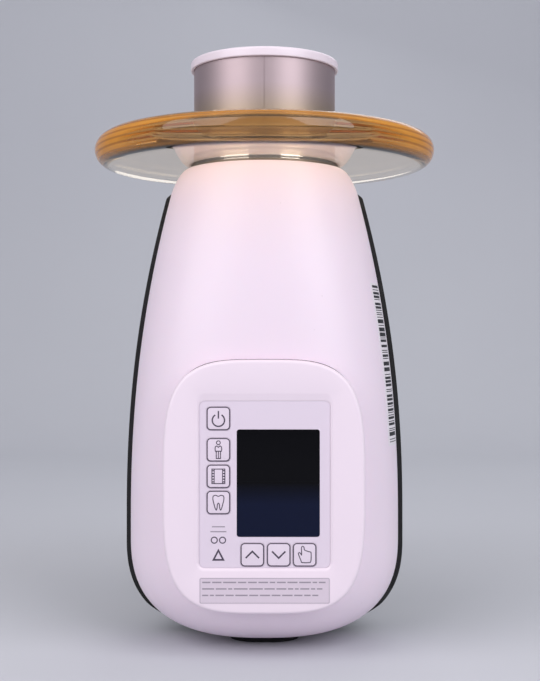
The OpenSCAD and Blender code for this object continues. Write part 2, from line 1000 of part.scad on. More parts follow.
module handset_base_cap() {
    color("#1a1a1d")
        difference() {
            in_handset()
                difference() {
                    translate([0, 0, handset_len - base_cap_t])
                        linear_extrude(base_cap_t)
                            base_outline();
                    for (y = charge_y)
                        translate([0, y, handset_len - 1])
                            cylinder(r = 3 + slip, h = 2);
                    at_base_screws() {
                        translate([0, 0, handset_len - 2])
                            cylinder(r = 2.3, h = 3);
                        translate([0, 0, handset_len - base_cap_t - 1])
                            cylinder(r = 1.2 + slip, h = 5);
                    }
                }
            below_floor();
        }
}

// The base's outline: its trigger side and its heel reach out by different amounts
module base_outline() {
    n = 2 / 3.2;
    polygon([
        for (i = [0:47])
        let(t = 360 * i / 48)
        [base_w * spow(cos(t), n), spow(sin(t), n) * (sin(t) > 0 ? base_rear : base_front)]
    ]);
}

module at_base_screws() {
    for (x = [-21, 21])
        translate([x, 10, 0])
            children();
}

module base_cap_screws() {
    color("#8f8f93")
        in_handset()
            at_base_screws() {
                translate([0, 0, handset_len - 2])
                    cylinder(r = 2.2, h = 1.6);
                translate([0, 0, handset_len - base_cap_t - 8])
                    cylinder(r = 1.2, h = base_cap_t + 6 + eps);
            }
}

module charging_contacts() {
    color("#d8b25a")
        in_handset()
            for (y = charge_y)
                translate([0, y, handset_len - 1])
                    cylinder(r = 3, h = 0.8);
}

module trigger() {
    tip = [-33, 50];
    root = [-26.5, 23];
    hollow = 2.6;
    steps = 8;
    color("#3a3a3e")
        in_handset()
            difference() {
                rotate([90, 0, 90])
                    translate([0, 0, -trigger_w])
                        linear_extrude(2 * trigger_w)
                            polygon(concat(
                                [[-12.4, 18.5], [-12.4, 49.5], [-14.5, 51.5], [-30, 51.5], [-32.4, 51]],
                                [for (i = [0:steps])
                                    let(t = i / steps)
                                    tip + (root - tip) * t + [hollow * sin(180 * t), 0]],
                                [[-24.5, 19.6], [-19, 17.8], [-14, 17.6]]
                            ));
                x_rod(pivot[0], pivot[1], pin_r + slip, -far, far);
            }
}

module trigger_pin() {
    color("#c4c6c9")
        in_handset()
            x_rod(pivot[0], pivot[1], pin_r, -16, 16);
}

module trigger_switch() {
    color("#26262a")
        in_handset() {
            block([-6, -3, 27], [6, 3, 48]);
            y_rod(0, 44, 1.2, -9.1, -3 + eps);
        }
}

module trigger_spring() {
    color("#b9bcc0")
        in_handset()
            translate([0, -12.35, 34])
                rotate([-90, 0, 0])
                    wire_spring(2.3, 0.35, 9.3, 5);
}

module latch_button() {
    color("#4a4a4f")
        in_handset() {
            block([-6, 20, 10], [6, 26.4, 22]);
            block([-tongue_w, tongue_y[0], 12], [tongue_w, 20 + eps, 20]);
            block([-tongue_w, tongue_y[0], -17], [tongue_w, tongue_y[1], 12 + eps]);
            block([-hook_w, tongue_y[1] - eps, -15], [hook_w, hook_y, -12]);
        }
}

module latch_spring() {
    color("#b9bcc0")
        in_handset()
            translate([0, 4.55, 16])
                rotate([-90, 0, 0])
                    wire_spring(2.3, 0.35, 9.6, 5);
}

// ---- the nodes ----

upper_shell();
lower_shell();
control_bezel();
keypad_overlay();
key(0);  // key_power
key(1);  // key_patient
key(2);  // key_film
key(3);  // key_tooth
key(4);  // key_up
key(5);  // key_down
key(6);  // key_hand
snap_domes();
display_window();
display_module();
keypad_board();
panel_screws();
main_board();
board_standoffs();
buzzer();
chassis_frame();
tube_head_tank();
tank_lid();
tube_glass_envelope();
tube_anode();
tube_cathode();
high_voltage_transformer();
voltage_multiplier();
aluminium_filter();
collimator_disc();
cone_tube();
cone_lead_liner();
cone_end_ring();
cone_screws();
nose_ring();
shield_disc();
shield_friction_ring();
handset_socket();
socket_contacts();
handset_shell(1);  // handset_left_shell
handset_shell(0);  // handset_right_shell
handset_plug();
plug_contacts();
battery_cells();
battery_board();
handset_base_cap();
charging_contacts();
trigger();
trigger_pin();
trigger_spring();
trigger_switch();
latch_button();
latch_spring();
shell_screws();
side_screws();
handset_screws();
base_cap_screws();
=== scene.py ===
"""Looks of the handheld intraoral x-ray unit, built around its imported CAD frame.

Lengths are in metres, in the row frame: +Z is the beam axis, -Y the display side, +Y the handset side.
"""

import json
import math
import random

import bmesh
import bpy
from mathutils import Matrix, Vector


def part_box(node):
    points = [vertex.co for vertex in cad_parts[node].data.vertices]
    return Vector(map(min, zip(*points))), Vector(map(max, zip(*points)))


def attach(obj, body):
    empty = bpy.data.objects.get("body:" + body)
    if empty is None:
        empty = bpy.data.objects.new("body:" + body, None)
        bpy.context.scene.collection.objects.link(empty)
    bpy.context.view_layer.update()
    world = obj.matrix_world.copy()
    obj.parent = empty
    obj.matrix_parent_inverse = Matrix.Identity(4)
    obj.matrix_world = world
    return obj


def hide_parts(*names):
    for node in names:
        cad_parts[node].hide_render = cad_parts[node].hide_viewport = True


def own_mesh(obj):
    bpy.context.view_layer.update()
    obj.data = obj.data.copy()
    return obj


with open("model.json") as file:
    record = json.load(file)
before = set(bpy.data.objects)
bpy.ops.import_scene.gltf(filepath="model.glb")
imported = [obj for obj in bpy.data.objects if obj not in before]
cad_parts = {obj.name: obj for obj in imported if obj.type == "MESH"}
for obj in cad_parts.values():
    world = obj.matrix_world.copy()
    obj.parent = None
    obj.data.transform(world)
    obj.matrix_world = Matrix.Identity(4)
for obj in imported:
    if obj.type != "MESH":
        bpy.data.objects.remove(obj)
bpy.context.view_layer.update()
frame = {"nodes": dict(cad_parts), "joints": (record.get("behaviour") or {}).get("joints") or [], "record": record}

MM = 0.001
FINE_WELD = 0.001 * MM
HOUSING = "housing"
HANDSET = "handset"


# ---------------------------------------------------------------- small maths


def clamp01(t):
    return min(1.0, max(0.0, t))


def smooth(z, a, b):
    t = clamp01((z - a) / (b - a))
    return t * t * (3 - 2 * t)


def spow(v, p):
    return math.copysign(abs(v) ** p, v) if abs(v) > 1e-12 else 0.0


def size(node):
    low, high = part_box(node)
    return high - low


def middle(node):
    low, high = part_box(node)
    return (low + high) / 2


# ---------------------------------------------------------------- mesh helpers


def mesh_object(name, points, faces, weld=0.00002):
    """A mesh object from points and faces, welded, with its normals outwards."""
    mesh = bpy.data.meshes.new(name)
    mesh.from_pydata([tuple(p) for p in points], [], faces)
    bm = bmesh.new()
    bm.from_mesh(mesh)
    bmesh.ops.remove_doubles(bm, verts=bm.verts, dist=weld)
    bmesh.ops.dissolve_degenerate(bm, edges=bm.edges, dist=weld / 4)
    bmesh.ops.recalc_face_normals(bm, faces=bm.faces)
    bm.to_mesh(mesh)
    bm.free()
    obj = bpy.data.objects.new(name, mesh)
    bpy.context.scene.collection.objects.link(obj)
    return obj


def apply_modifiers(obj):
    graph = bpy.context.evaluated_depsgraph_get()
    mesh = bpy.data.meshes.new_from_object(obj.evaluated_get(graph))
    obj.modifiers.clear()
    obj.data = mesh
    mesh.name = obj.name


def combine(obj, other, operation):
    """Boolean of obj with other, which is used up."""
    modifier = obj.modifiers.new("combine", "BOOLEAN")
    modifier.operation = operation
    modifier.solver = "EXACT"
    modifier.object = other
    apply_modifiers(obj)
    bpy.data.objects.remove(other)


def bevel(obj, width, segments=3, angle=40):
    modifier = obj.modifiers.new("bevel", "BEVEL")
    modifier.width = width
    modifier.segments = segments
    modifier.limit_method = "ANGLE"
    modifier.angle_limit = math.radians(angle)
    modifier.use_clamp_overlap = True
    apply_modifiers(obj)


def shade(obj, angle=35):
    """Smooth shading, with edges sharper than the angle kept sharp."""
    bm = bmesh.new()
    bm.from_mesh(obj.data)
    for face in bm.faces:
        face.smooth = True
    for edge in bm.edges:
        if len(edge.link_faces) == 2:
            edge.smooth = edge.calc_face_angle(0) < math.radians(angle)
    bm.to_mesh(obj.data)
    bm.free()


def settle(obj, body, material, replaced=(), angle=35):
    """The last step of a piece: shading, material, slot, body and the CAD nodes it stands for."""
    shade(obj, angle)
    obj.data.materials.clear()
    obj.data.materials.append(material)
    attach(obj, body)
    if replaced:
        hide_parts(*replaced)
    return obj


def grid_faces(rows, columns, closed=False, start=0):
    """Quads of a grid of points listed row by row; closed joins each row's ends."""
    faces = []
    for r in range(rows - 1):
        for c in range(columns if closed else columns - 1):
            a = start + r * columns + c
            b = start + r * columns + (c + 1) % columns
            faces.append((a, b, b + columns, a + columns))
    return faces


def skin(name, rings, weld=0.00002):
    """A solid skinned over closed rings of points, capped at both ends."""
    n, total = len(rings[0]), len(rings) * len(rings[0])
    faces = grid_faces(len(rings), n, closed=True)
    faces += [tuple(range(n)), tuple(range(total - 1, total - n - 1, -1))]
    return mesh_object(name, [p for ring in rings for p in ring], faces, weld)


def superellipse(a, b, power, count, centre=(0, 0)):
    """Points round a superellipse with half sizes a and b."""
    n = 2 / power
    turns = (2 * math.pi * i / count for i in range(count))
    return [(centre[0] + a * spow(math.cos(t), n), centre[1] + b * spow(math.sin(t), n)) for t in turns]


def revolve(name, profile, segments=256):
    """A solid of revolution about the Z axis. profile is a closed list of (radius, z)."""
    points = []
    for s in range(segments):
        a = 2 * math.pi * s / segments
        points += [(r * math.cos(a), r * math.sin(a), z) for r, z in profile]
    n = len(profile)
    faces = []
    for s in range(segments):
        for i in range(n):
            a, b = s * n + i, s * n + (i + 1) % n
            c, d = ((s + 1) % segments) * n + i, ((s + 1) % segments) * n + (i + 1) % n
            faces.append((a, b, d, c))
    return mesh_object(name, points, faces, weld=0.000005)


def quarter(n):
    """Angles from 0 to 90 degrees in n steps, in radians."""
    return [math.pi / 2 * i / n for i in range(n + 1)]


def arc(cx, cy, r, a0, a1, n):
    """Points along an arc, angles in degrees."""
    angles = (math.radians(a0 + (a1 - a0) * i / n) for i in range(n + 1))
    return [(cx + r * math.cos(a), cy + r * math.sin(a)) for a in angles]


def rounded(w, h, r, centre=(0, 0), corner=8, edge=24):
    """Points round a rounded rectangle, anticlockwise from the middle of its right side."""
    x, y = w / 2 - r, h / 2 - r
    legs = [((w / 2, 0), (w / 2, y)), ((x, h / 2), (-x, h / 2)), ((-w / 2, y), (-w / 2, -y)),
            ((-x, -h / 2), (x, -h / 2)), ((w / 2, -y), (w / 2, 0))]
    turns = [(x, y, 0), (-x, y, 90), (-x, -y, 180), (x, -y, 270)]
    points = []
    for i, ((ax, ay), (bx, by)) in enumerate(legs):
        steps = edge // 2 if i in (0, 4) else edge
        points += [(ax + (bx - ax) * k / steps, ay + (by - ay) * k / steps) for k in range(steps)]
        if i < 4:
            points += arc(turns[i][0], turns[i][1], r, turns[i][2], turns[i][2] + 90, corner)[:-1]
    return [(px + centre[0], py + centre[1]) for px, py in points]


def prism(name, outline, y0, y1):
    """An outline drawn in X and Z, extruded along Y."""
    return skin(name, [[(x, y, z) for x, z in outline] for y in (y0, y1)], FINE_WELD)


def rod(start, end, radius, segments=32):
    """A plain round rod between two points, used as a cutter."""
    start, end = Vector(start), Vector(end)
    turn = (end - start).to_track_quat("Z", "Y").to_matrix()
    round_it = [2 * math.pi * s / segments for s in range(segments)]
    circle = [turn @ Vector((radius * math.cos(a), radius * math.sin(a), 0)) for a in round_it]
    return skin("cut", [[p + c for c in circle] for p in (start, end)], FINE_WELD)


def block(name, low, high, matrix=Matrix.Identity(4)):
    """A box used as a cutter or as the start of a rounded part."""
    xs, ys, zs = zip(low, high)
    points = [matrix @ Vector((x, y, z)) for x in xs for y in ys for z in zs]
    faces = [(0, 1, 3, 2), (4, 6, 7, 5), (0, 4, 5, 1), (2, 3, 7, 6), (0, 2, 6, 4), (1, 5, 7, 3)]
    return mesh_object(name, points, faces, FINE_WELD)


def slab(low, high, name="cut"):
    """A box given in the handset's own frame, in millimetres."""
    return block(name, Vector(low) * MM, Vector(high) * MM, handset_frame)


# ---------------------------------------------------------------- materials


class Nodes:
    """A node material being built, with short names for the nodes it needs."""

    def __init__(self, name):
        self.material = bpy.data.materials.new(name)
        self.material.use_nodes = True
        self.tree = self.material.node_tree
        self.bsdf = self.tree.nodes["Principled BSDF"]
        self.output = self.tree.nodes["Material Output"]
        self.coord = self.tree.nodes.new("ShaderNodeTexCoord").outputs["Object"]

    def feed(self, value, target):
        """Links another node's output to an input, or sets the input's own value."""
        if isinstance(value, bpy.types.NodeSocket):
            self.tree.links.new(value, target)
        else:
            target.default_value = value

    def fill(self, node, inputs):
        for key, value in inputs.items():
            self.feed(value, node.inputs[key.replace("_", " ")])
        return node

    def add(self, kind, **inputs):
        return self.fill(self.tree.nodes.new(kind), inputs)

    def scaled(self, x, y, z):
        """The object's coordinates, stretched for grain that runs one way."""
        return self.add("ShaderNodeMapping", Vector=self.coord, Scale=(x, y, z)).outputs["Vector"]

    def noise(self, scale, detail=3.0, roughness=0.55, vector=None):
        node = self.add("ShaderNodeTexNoise", Scale=scale, Detail=detail, Roughness=roughness)
        self.feed(vector or self.coord, node.inputs["Vector"])
        return node.outputs["Fac"]

    def ramp(self, factor, low, high, a=(0, 0, 0, 1), b=(1, 1, 1, 1)):
        node = self.add("ShaderNodeValToRGB", Fac=factor)
        node.color_ramp.elements[0].position = low
        node.color_ramp.elements[0].color = a
        node.color_ramp.elements[1].position = high
        node.color_ramp.elements[1].color = b
        return node.outputs["Color"]

    def between(self, factor, low, high):
        """A number that runs from low to high as factor runs from 0 to 1."""
        return self.add("ShaderNodeMapRange", Value=factor, To_Min=low, To_Max=high).outputs["Result"]

    def past(self, value, low, high):
        """0 below low, 1 above high, with a straight run between."""
        return self.add("ShaderNodeMapRange", Value=value, From_Min=low, From_Max=high).outputs["Result"]

    def axes(self):
        return self.add("ShaderNodeSeparateXYZ", Vector=self.coord).outputs

    def mix(self, factor, a, b, how="MIX"):
        node = self.tree.nodes.new("ShaderNodeMix")
        node.data_type = "RGBA"
        node.blend_type = how
        for index, value in ((0, factor), (6, a), (7, b)):
            self.feed(value, node.inputs[index])
        return node.outputs[2]

    def math(self, operation, a, b=0.0):
        node = self.tree.nodes.new("ShaderNodeMath")
        node.operation = operation
        self.feed(a, node.inputs[0])
        self.feed(b, node.inputs[1])
        return node.outputs[0]

    def product(self, a, b):
        return self.math("MULTIPLY", a, b)

    def bump(self, height, distance, strength=1.0, normal=None):
        node = self.add("ShaderNodeBump", Height=height, Distance=distance, Strength=strength)
        if normal:
            self.feed(normal, node.inputs["Normal"])
        return node.outputs["Normal"]

    def worn_edges(self, low, high, grain):
        """A mask of the sharp edges, broken up by noise."""
        pointiness = self.add("ShaderNodeNewGeometry").outputs["Pointiness"]
        return self.product(self.ramp(pointiness, low, high), self.noise(grain, 4))

    def set(self, **inputs):
        self.fill(self.bsdf, inputs)
        return self.material


def shift(colour, k):
    return (colour[0] * k, colour[1] * k, colour[2] * k, 1)


def moulded(name, colour, rough=0.42, grain=2200, depth=0.00002, vary=0.03, coat=0.0, wear=0.0):
    """Moulded plastic: fine grain, a little unevenness of colour and gloss, and paler worn edges."""
    n = Nodes(name)
    broad = n.noise(14, 4)
    fine = n.noise(grain, 2)
    tone = n.mix(broad, shift(colour, 1 - vary), shift(colour, 1 + vary / 2))
    if wear:
        worn = n.product(n.worn_edges(0.52, 0.60, 160), wear)
        tone = n.mix(worn, tone, shift(colour, 2.2) if max(colour[:3]) < 0.3 else shift(colour, 0.8))
    gloss = n.between(n.noise(35, 5, 0.6), rough - 0.06, rough + 0.08)
    return n.set(Base_Color=tone, Roughness=gloss, Normal=n.bump(fine, depth), Coat_Weight=coat,
                 Coat_Roughness=0.25)


def white_plastic():
    """The white shell: satin, faintly pink-white, with soft scuffs and a few specks."""
    n = Nodes("white_plastic")
    tone = n.mix(n.noise(9, 3), (0.880, 0.752, 0.850, 1), (0.905, 0.779, 0.880, 1))
    scuff = n.ramp(n.noise(1, 6, 0.7, n.scaled(60, 60, 420)), 0.66, 0.74)
    scuff = n.product(scuff, n.ramp(n.noise(16, 2), 0.56, 0.70))
    tone = n.mix(n.product(scuff, 0.35), tone, (0.66, 0.60, 0.60, 1))
    specks = n.ramp(n.noise(700, 1), 0.80, 0.83)
    tone = n.mix(n.product(specks, 0.3), tone, (0.50, 0.43, 0.42, 1))
    gloss = n.between(n.noise(28, 5, 0.65), 0.30, 0.43)
    orange_peel = n.noise(420, 2)
    grain = n.bump(n.noise(3200, 2), 0.000012)
    return n.set(Base_Color=tone, Roughness=gloss, Normal=n.bump(orange_peel, 0.000015, normal=grain),
                 Subsurface_Weight=0.04, Subsurface_Scale=0.004)


def black_plastic(name="black_plastic", rough=0.68, level=0.0075):
    """Charcoal moulded plastic with spark-eroded grain and slightly polished edges."""
    n = Nodes(name)
    cells = n.add("ShaderNodeTexVoronoi", Vector=n.coord, Scale=1500.0).outputs["Distance"]
    tone = n.mix(n.noise(22, 4), (level, level, level * 1.12, 1), (level * 1.7, level * 1.7, level * 1.85, 1))
    tone = n.mix(n.product(n.worn_edges(0.515, 0.58, 120), 0.5), tone, (0.09, 0.09, 0.09, 1))
    gloss = n.between(n.noise(60, 4), rough - 0.08, rough + 0.10)
    return n.set(Base_Color=tone, Roughness=gloss, Normal=n.bump(cells, 0.00004), Specular_IOR_Level=0.22)


def rubber_grip():
    """Soft-touch rubber over the grip: matte, with a fine pebbled texture."""
    n = Nodes("rubber_grip")
    pebbles = n.add("ShaderNodeTexVoronoi", Vector=n.coord, Scale=700.0).outputs["Distance"]
    tone = n.mix(n.noise(30, 4), (0.013, 0.013, 0.015, 1), (0.024, 0.024, 0.026, 1))
    gloss = n.between(n.noise(80, 4), 0.66, 0.84)
    return n.set(Base_Color=tone, Roughness=gloss, Normal=n.bump(pebbles, 0.00012), Specular_IOR_Level=0.35)


def turned(n, colour, rough, scale=(60, 60, 5200), depth=0.000006, anisotropic=0.75, tint=0.06):
    """Turned metal, with the grain running round the Z axis. colour is a colour or a node's output."""
    grain = n.noise(1, 4, 0.7, n.scaled(*scale))
    tone = n.mix(n.between(grain, tint, 0.0), colour, (0, 0, 0, 1))
    stain = n.ramp(n.noise(45, 5, 0.6), 0.60, 0.78)
    tone = n.mix(n.product(stain, 0.04), tone, (0, 0, 0, 1))
    gloss = n.between(grain, rough - 0.06, rough + 0.10)
    tangent = n.add("ShaderNodeTangent")
    tangent.direction_type = "RADIAL"
    tangent.axis = "Z"
    return n.set(Base_Color=tone, Metallic=1.0, Roughness=gloss, Anisotropic=anisotropic,
                 Tangent=tangent.outputs["Tangent"], Normal=n.bump(grain, depth))


def brushed(name, colour, rough=0.30):
    return turned(Nodes(name), (*colour, 1), rough)


def cone_metal():
    """The cone's brushed metal, with a painted reflection of the amber shield: warm tan towards the shield's rest
    place, fading to the plain tone higher up.
    """
    shield_top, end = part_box("shield_disc")[1].z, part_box("cone_tube")[1].z
    shown = end - shield_top
    n = Nodes("cone_aluminium_painted_reflection")
    # Painted reflection: below this height the tube is painted warm tan for the amber shield's reflection at its
    # rest place, and the tint stays put when the shield slides.
    height = n.past(n.axes()["Z"], shield_top + 0.1 * shown, shield_top + 0.6 * shown)
    tone = n.mix(height, (0.44, 0.345, 0.225, 1), (0.500, 0.400, 0.420, 1))
    return turned(n, tone, 0.44, anisotropic=0.5)


def metal(name, colour, rough=0.32, grain=900):
    """Plain machined, plated or cast metal with small irregularities."""
    n = Nodes(name)
    spots = n.noise(grain, 4)
    tone = n.mix(spots, shift(colour, 0.90), shift(colour, 1.06))
    gloss = n.between(n.noise(grain / 6, 5), rough - 0.08, rough + 0.12)
    return n.set(Base_Color=tone, Metallic=1.0, Roughness=gloss, Normal=n.bump(spots, 0.00001))


def film(name, colour, rough=0.5, vary=0.02):
    """Printed polycarbonate film with a fine matte texture."""
    n = Nodes(name)
    tone = n.mix(n.noise(1800, 2), shift(colour, 1 - vary), shift(colour, 1 + vary))
    gloss = n.between(n.noise(40, 4), rough - 0.05, rough + 0.06)
    return n.set(Base_Color=tone, Roughness=gloss, Normal=n.bump(n.noise(5200, 1), 0.00001))


def ink(name, colour):
    """Screen-printed ink, a little uneven."""
    n = Nodes(name)
    tone = n.mix(n.noise(2600, 3), shift(colour, 0.88), shift(colour, 1.12))
    return n.set(Base_Color=tone, Roughness=n.between(n.noise(300, 3), 0.42, 0.58))


def display_glass():
    """Polished black window: near black above, deep navy towards its lower end."""
    low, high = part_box("display_window")
    n = Nodes("display_glass")
    tall = high.z - low.z
    height = n.past(n.axes()["Z"], low.z + 0.30 * tall, low.z + 0.50 * tall)
    tone = n.mix(height, (0.0055, 0.0085, 0.028, 1), (0.0022, 0.0022, 0.0035, 1))
    smears = n.noise(50, 5, 0.65, n.scaled(1, 1, 2.4))
    return n.set(Base_Color=tone, Roughness=n.between(smears, 0.07, 0.16), Specular_IOR_Level=0.10,
                 Normal=n.bump(n.noise(90, 2), 0.000004))


def lead_acrylic():
    """Polished amber lead acrylic: clear faces over a body that absorbs blue, and a cloudier rim whose painted
    orange, stronger where the rim turns from view, stands in for light's long path through the amber.
    """
    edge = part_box("shield_disc")[1].x
    n = Nodes("lead_acrylic")
    haze = n.ramp(n.noise(1, 5, 0.65, n.scaled(50, 50, 260)), 0.55, 0.85)
    n.set(Base_Color=(1.0, 0.985, 0.955, 1), Roughness=n.between(haze, 0.015, 0.05), IOR=1.54,
          Transmission_Weight=1.0, Normal=n.bump(n.noise(40, 2), 0.00001))
    axes = n.axes()
    radius = n.math("SQRT", n.math("ADD", n.product(axes["X"], axes["X"]), n.product(axes["Y"], axes["Y"])))
    rim = n.past(radius, edge - 5.0 * MM, edge - 1.8 * MM)
    wave = n.math("SINE", n.product(axes["Z"], 2 * math.pi / (2.6 * MM)))
    lines = n.product(n.ramp(wave, 0.0, 0.9), 0.6)
    # Painted light: this orange is mixed in more where the rim turns away from view. It stands in for the colour
    # of light's long path through the amber at the disc's ends.
    tone = n.mix(lines, (0.76, 0.32, 0.04, 1), (0.30, 0.11, 0.02, 1))
    cloudy_rim_painted_light = n.add("ShaderNodeBsdfPrincipled", Base_Color=tone, Roughness=0.16, IOR=1.54,
                   Specular_IOR_Level=0.25)
    facing = n.add("ShaderNodeLayerWeight", Blend=0.5).outputs["Facing"]
    painted_orange_amount = n.product(rim, n.between(n.ramp(facing, 0.24, 0.50), 0.10, 0.84))
    rimmed = n.add("ShaderNodeMixShader", Fac=painted_orange_amount)
    n.feed(n.bsdf.outputs[0], rimmed.inputs[1])
    n.feed(cloudy_rim_painted_light.outputs[0], rimmed.inputs[2])
    clear = n.add("ShaderNodeBsdfTransparent", Color=(0.90, 0.85, 0.79, 1))
    both = n.add("ShaderNodeMixShader", Fac=n.add("ShaderNodeLightPath").outputs["Is Shadow Ray"])
    n.feed(rimmed.outputs[0], both.inputs[1])
    n.feed(clear.outputs[0], both.inputs[2])
    n.feed(both.outputs[0], n.output.inputs["Surface"])
    body = n.add("ShaderNodeVolumeAbsorption", Color=(0.86, 0.60, 0.12, 1), Density=16.0)
    n.feed(body.outputs[0], n.output.inputs["Volume"])
    return n.material


def clear_glass():
    n = Nodes("tube_glass")
    return n.set(Base_Color=(0.93, 0.98, 0.98, 1), Roughness=n.between(n.noise(30, 3), 0.02, 0.06),
                 Transmission_Weight=1.0, IOR=1.48)


def circuit_board():
    """Solder mask with a pattern of tracks under it."""
    n = Nodes("circuit_board")
    brick = n.add("ShaderNodeTexBrick", Vector=n.scaled(1, 0, 1), Scale=240.0, Mortar_Size=0.08)
    brick.inputs["Color1"].default_value = (0.010, 0.085, 0.028, 1)
    brick.inputs["Color2"].default_value = (0.012, 0.110, 0.036, 1)
    brick.inputs["Mortar"].default_value = (0.030, 0.190, 0.065, 1)
    return n.set(Base_Color=brick.outputs["Color"], Roughness=n.between(n.noise(120, 3), 0.28, 0.40),
                 Normal=n.bump(brick.outputs["Fac"], 0.00003))


def sleeve_wrap():
    """Heat-shrunk sleeve on the cells: blue, with faint folds."""
    n = Nodes("cell_sleeve")
    folds = n.noise(1, 4, 0.6, n.scaled(500, 60, 60))
    tone = n.mix(folds, (0.02, 0.08, 0.25, 1), (0.04, 0.13, 0.34, 1))
    return n.set(Base_Color=tone, Roughness=n.between(folds, 0.22, 0.36), Normal=n.bump(folds, 0.00004))


def paper_label(name, colour):
    n = Nodes(name)
    tone = n.mix(n.noise(1400, 3), shift(colour, 0.97), shift(colour, 1.02))
    return n.set(Base_Color=tone, Roughness=n.between(n.noise(60, 4), 0.34, 0.46), Coat_Weight=0.15)


M = {
    "white": white_plastic(),
    "bezel": moulded("bezel_plastic", (0.900, 0.778, 0.868), 0.36, 3000, 0.00001, vary=0.015),
    "ring": moulded("ring_plastic", (0.90, 0.79, 0.86), 0.34, 2600, 0.00001, vary=0.015, coat=0.15),
    "black": black_plastic(),
    "grip": rubber_grip(),
    "overlay": film("overlay_film", (0.780, 0.680, 0.785)),
    "key": film("key_film", (0.800, 0.700, 0.800), rough=0.46),
    "ink": ink("key_ink", (0.070, 0.052, 0.085)),
    "pale_ink": ink("pale_ink", (0.33, 0.29, 0.34)),
    "black_ink": ink("black_ink", (0.012, 0.012, 0.016)),
    "label": paper_label("label_paper", (0.72, 0.62, 0.71)),
    "sticker": paper_label("sticker_paper", (0.86, 0.81, 0.85)),
    "display": display_glass(),
    "cone": cone_metal(),
    # Painted shade: the nose ring's metal is toned darker than the cone's, for the shade in the narrow gap under
    # the shield.
    "nose": brushed("nose_ring_metal_painted_shade", (0.30, 0.26, 0.235), rough=0.34),
    "shield": lead_acrylic(),
    "trigger": moulded("trigger_plastic", (0.055, 0.055, 0.060), 0.38, 1500, wear=0.5),
    "socket": moulded("socket_plastic", (0.030, 0.030, 0.034), 0.45, 1600),
    "rubber": moulded("friction_rubber", (0.016, 0.016, 0.017), 0.75, 1200, 0.00005),
    "steel": metal("plated_steel", (0.55, 0.55, 0.56)),
    "dark_steel": metal("blackened_steel", (0.10, 0.10, 0.105), rough=0.38),
    "spring": metal("spring_wire", (0.60, 0.61, 0.63), rough=0.24),
    "brass": metal("gold_plate", (0.83, 0.62, 0.28), rough=0.22),
    "copper": metal("bare_copper", (0.72, 0.37, 0.22), rough=0.30),
    "frame": metal("milled_aluminium", (0.60, 0.62, 0.64), rough=0.36, grain=500),
    "tank": metal("cast_tank", (0.33, 0.35, 0.38), rough=0.50, grain=350),
    "lead": metal("dull_lead", (0.24, 0.25, 0.27), rough=0.55, grain=260),
    "filter": metal("filter_aluminium", (0.74, 0.75, 0.76), rough=0.28),
    "cathode": metal("nickel", (0.60, 0.61, 0.60), rough=0.25),
    "winding": moulded("lacquered_core", (0.16, 0.09, 0.045), 0.40, 700, 0.00004, vary=0.15),
    "epoxy": moulded("potting", (0.50, 0.38, 0.19), 0.35, 500, 0.00003, vary=0.10),
    "glass": clear_glass(),
    "board": circuit_board(),
    "sleeve": sleeve_wrap(),
}

# Slots whose material goes by another name; the rest are called what their slot is called
SLOT_MATERIAL = {
    "white_shell": "white", "dark_shell": "black", "window": "display", "display": "socket",
    "dome_metal": "spring", "screw_steel": "dark_steel", "buzzer": "socket", "frame_metal": "frame",
    "tube_glass": "glass", "cone_metal": "cone", "end_ring": "ring", "nose_ring": "nose", "grip": "black",
    "plug": "socket", "battery": "sleeve", "pin_steel": "steel", "spring_steel": "spring",
}


def paint_cad_nodes():
    """Every CAD node gets the node material of its slot."""
    for part in frame["record"]["subparts"]:
        node = frame["nodes"][part["node"]]
        node.data.materials.clear()
        slot = part["material_slot"]
        node.data.materials.append(M[SLOT_MATERIAL.get(slot, slot)])


# ---------------------------------------------------------------- the body's shells

# Shape of the body, as in the CAD: superellipse sections whose half sizes follow the height
HALF_W = -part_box("upper_shell")[0].x
DEPTH_TOP = -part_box("upper_shell")[0].y
DEPTH_UNDER = 51 * MM
BODY_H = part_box("upper_shell")[1].z
WALL = 2.6 * MM
RAIL = 4.0 * MM
FOOT_H = 3.8 * MM
FOOT_W, FOOT_DEPTH, FOOT_Y = 34 * MM, 24 * MM, 1 * MM
GAP = 0.2 * MM
BELLY_Z = 60 * MM
SHOULDER_Z = 215 * MM
SHOULDER_IN = 18.9 * MM
SHOULDER_FLAT = 8 * MM
SHOULDER_UNDER = 8.8 * MM
TAPER_POWER = 2.15
REAR_H = 48 * MM
REAR_POWER = 2.6
REAR_FLAT = 1.2 * MM
NOSE_POWER = 2.4
LIP_R = 37 * MM
NOSE_BORE_R = 34.8 * MM
PART_LINE = 8 * MM
SECTION_POWER, SECTION_POWER_FALL = 2.45, 0.45

# Powers of the other superellipses: the bezel's outline, the collar and foot, the base cap
BEZEL_POWER = 3.7
COLLAR_POWER = 2.4
CAP_POWER = 3.2


def taper(z):
    return max(0.0, (z - BELLY_Z) / (SHOULDER_Z - BELLY_Z)) ** TAPER_POWER


def rear_curve(z, low, base):
    """Rounding of a skin whose rear end lies at height low, in a shell that ends at height base."""
    top = base + REAR_H
    if z >= top:
        return 1.0
    return (1 - ((top - z) / (top - low + REAR_FLAT)) ** REAR_POWER) ** (1 / REAR_POWER)


def nose_curve(z, top):
    if z <= SHOULDER_Z:
        return 1.0
    return max(0.0, 1 - ((z - SHOULDER_Z) / (top - SHOULDER_Z)) ** NOSE_POWER) ** (1 / NOSE_POWER)


def half_size(z, full, lost, inset, base):
    lip = NOSE_BORE_R if inset else LIP_R
    wide = lip + (full - lost * taper(z) - inset - lip) * nose_curve(z, BODY_H - inset)
    return wide * rear_curve(z, base + inset, base)


def section_power(z):
    return SECTION_POWER - SECTION_POWER_FALL * smooth(z, 110 * MM, BODY_H)


def rail_at(z):
    """How far the dark shell's edge stands proud of the white one at height z."""
    return RAIL * smooth(z, 2 * MM, 16 * MM) * (1 - smooth(z, 216 * MM, 221 * MM))


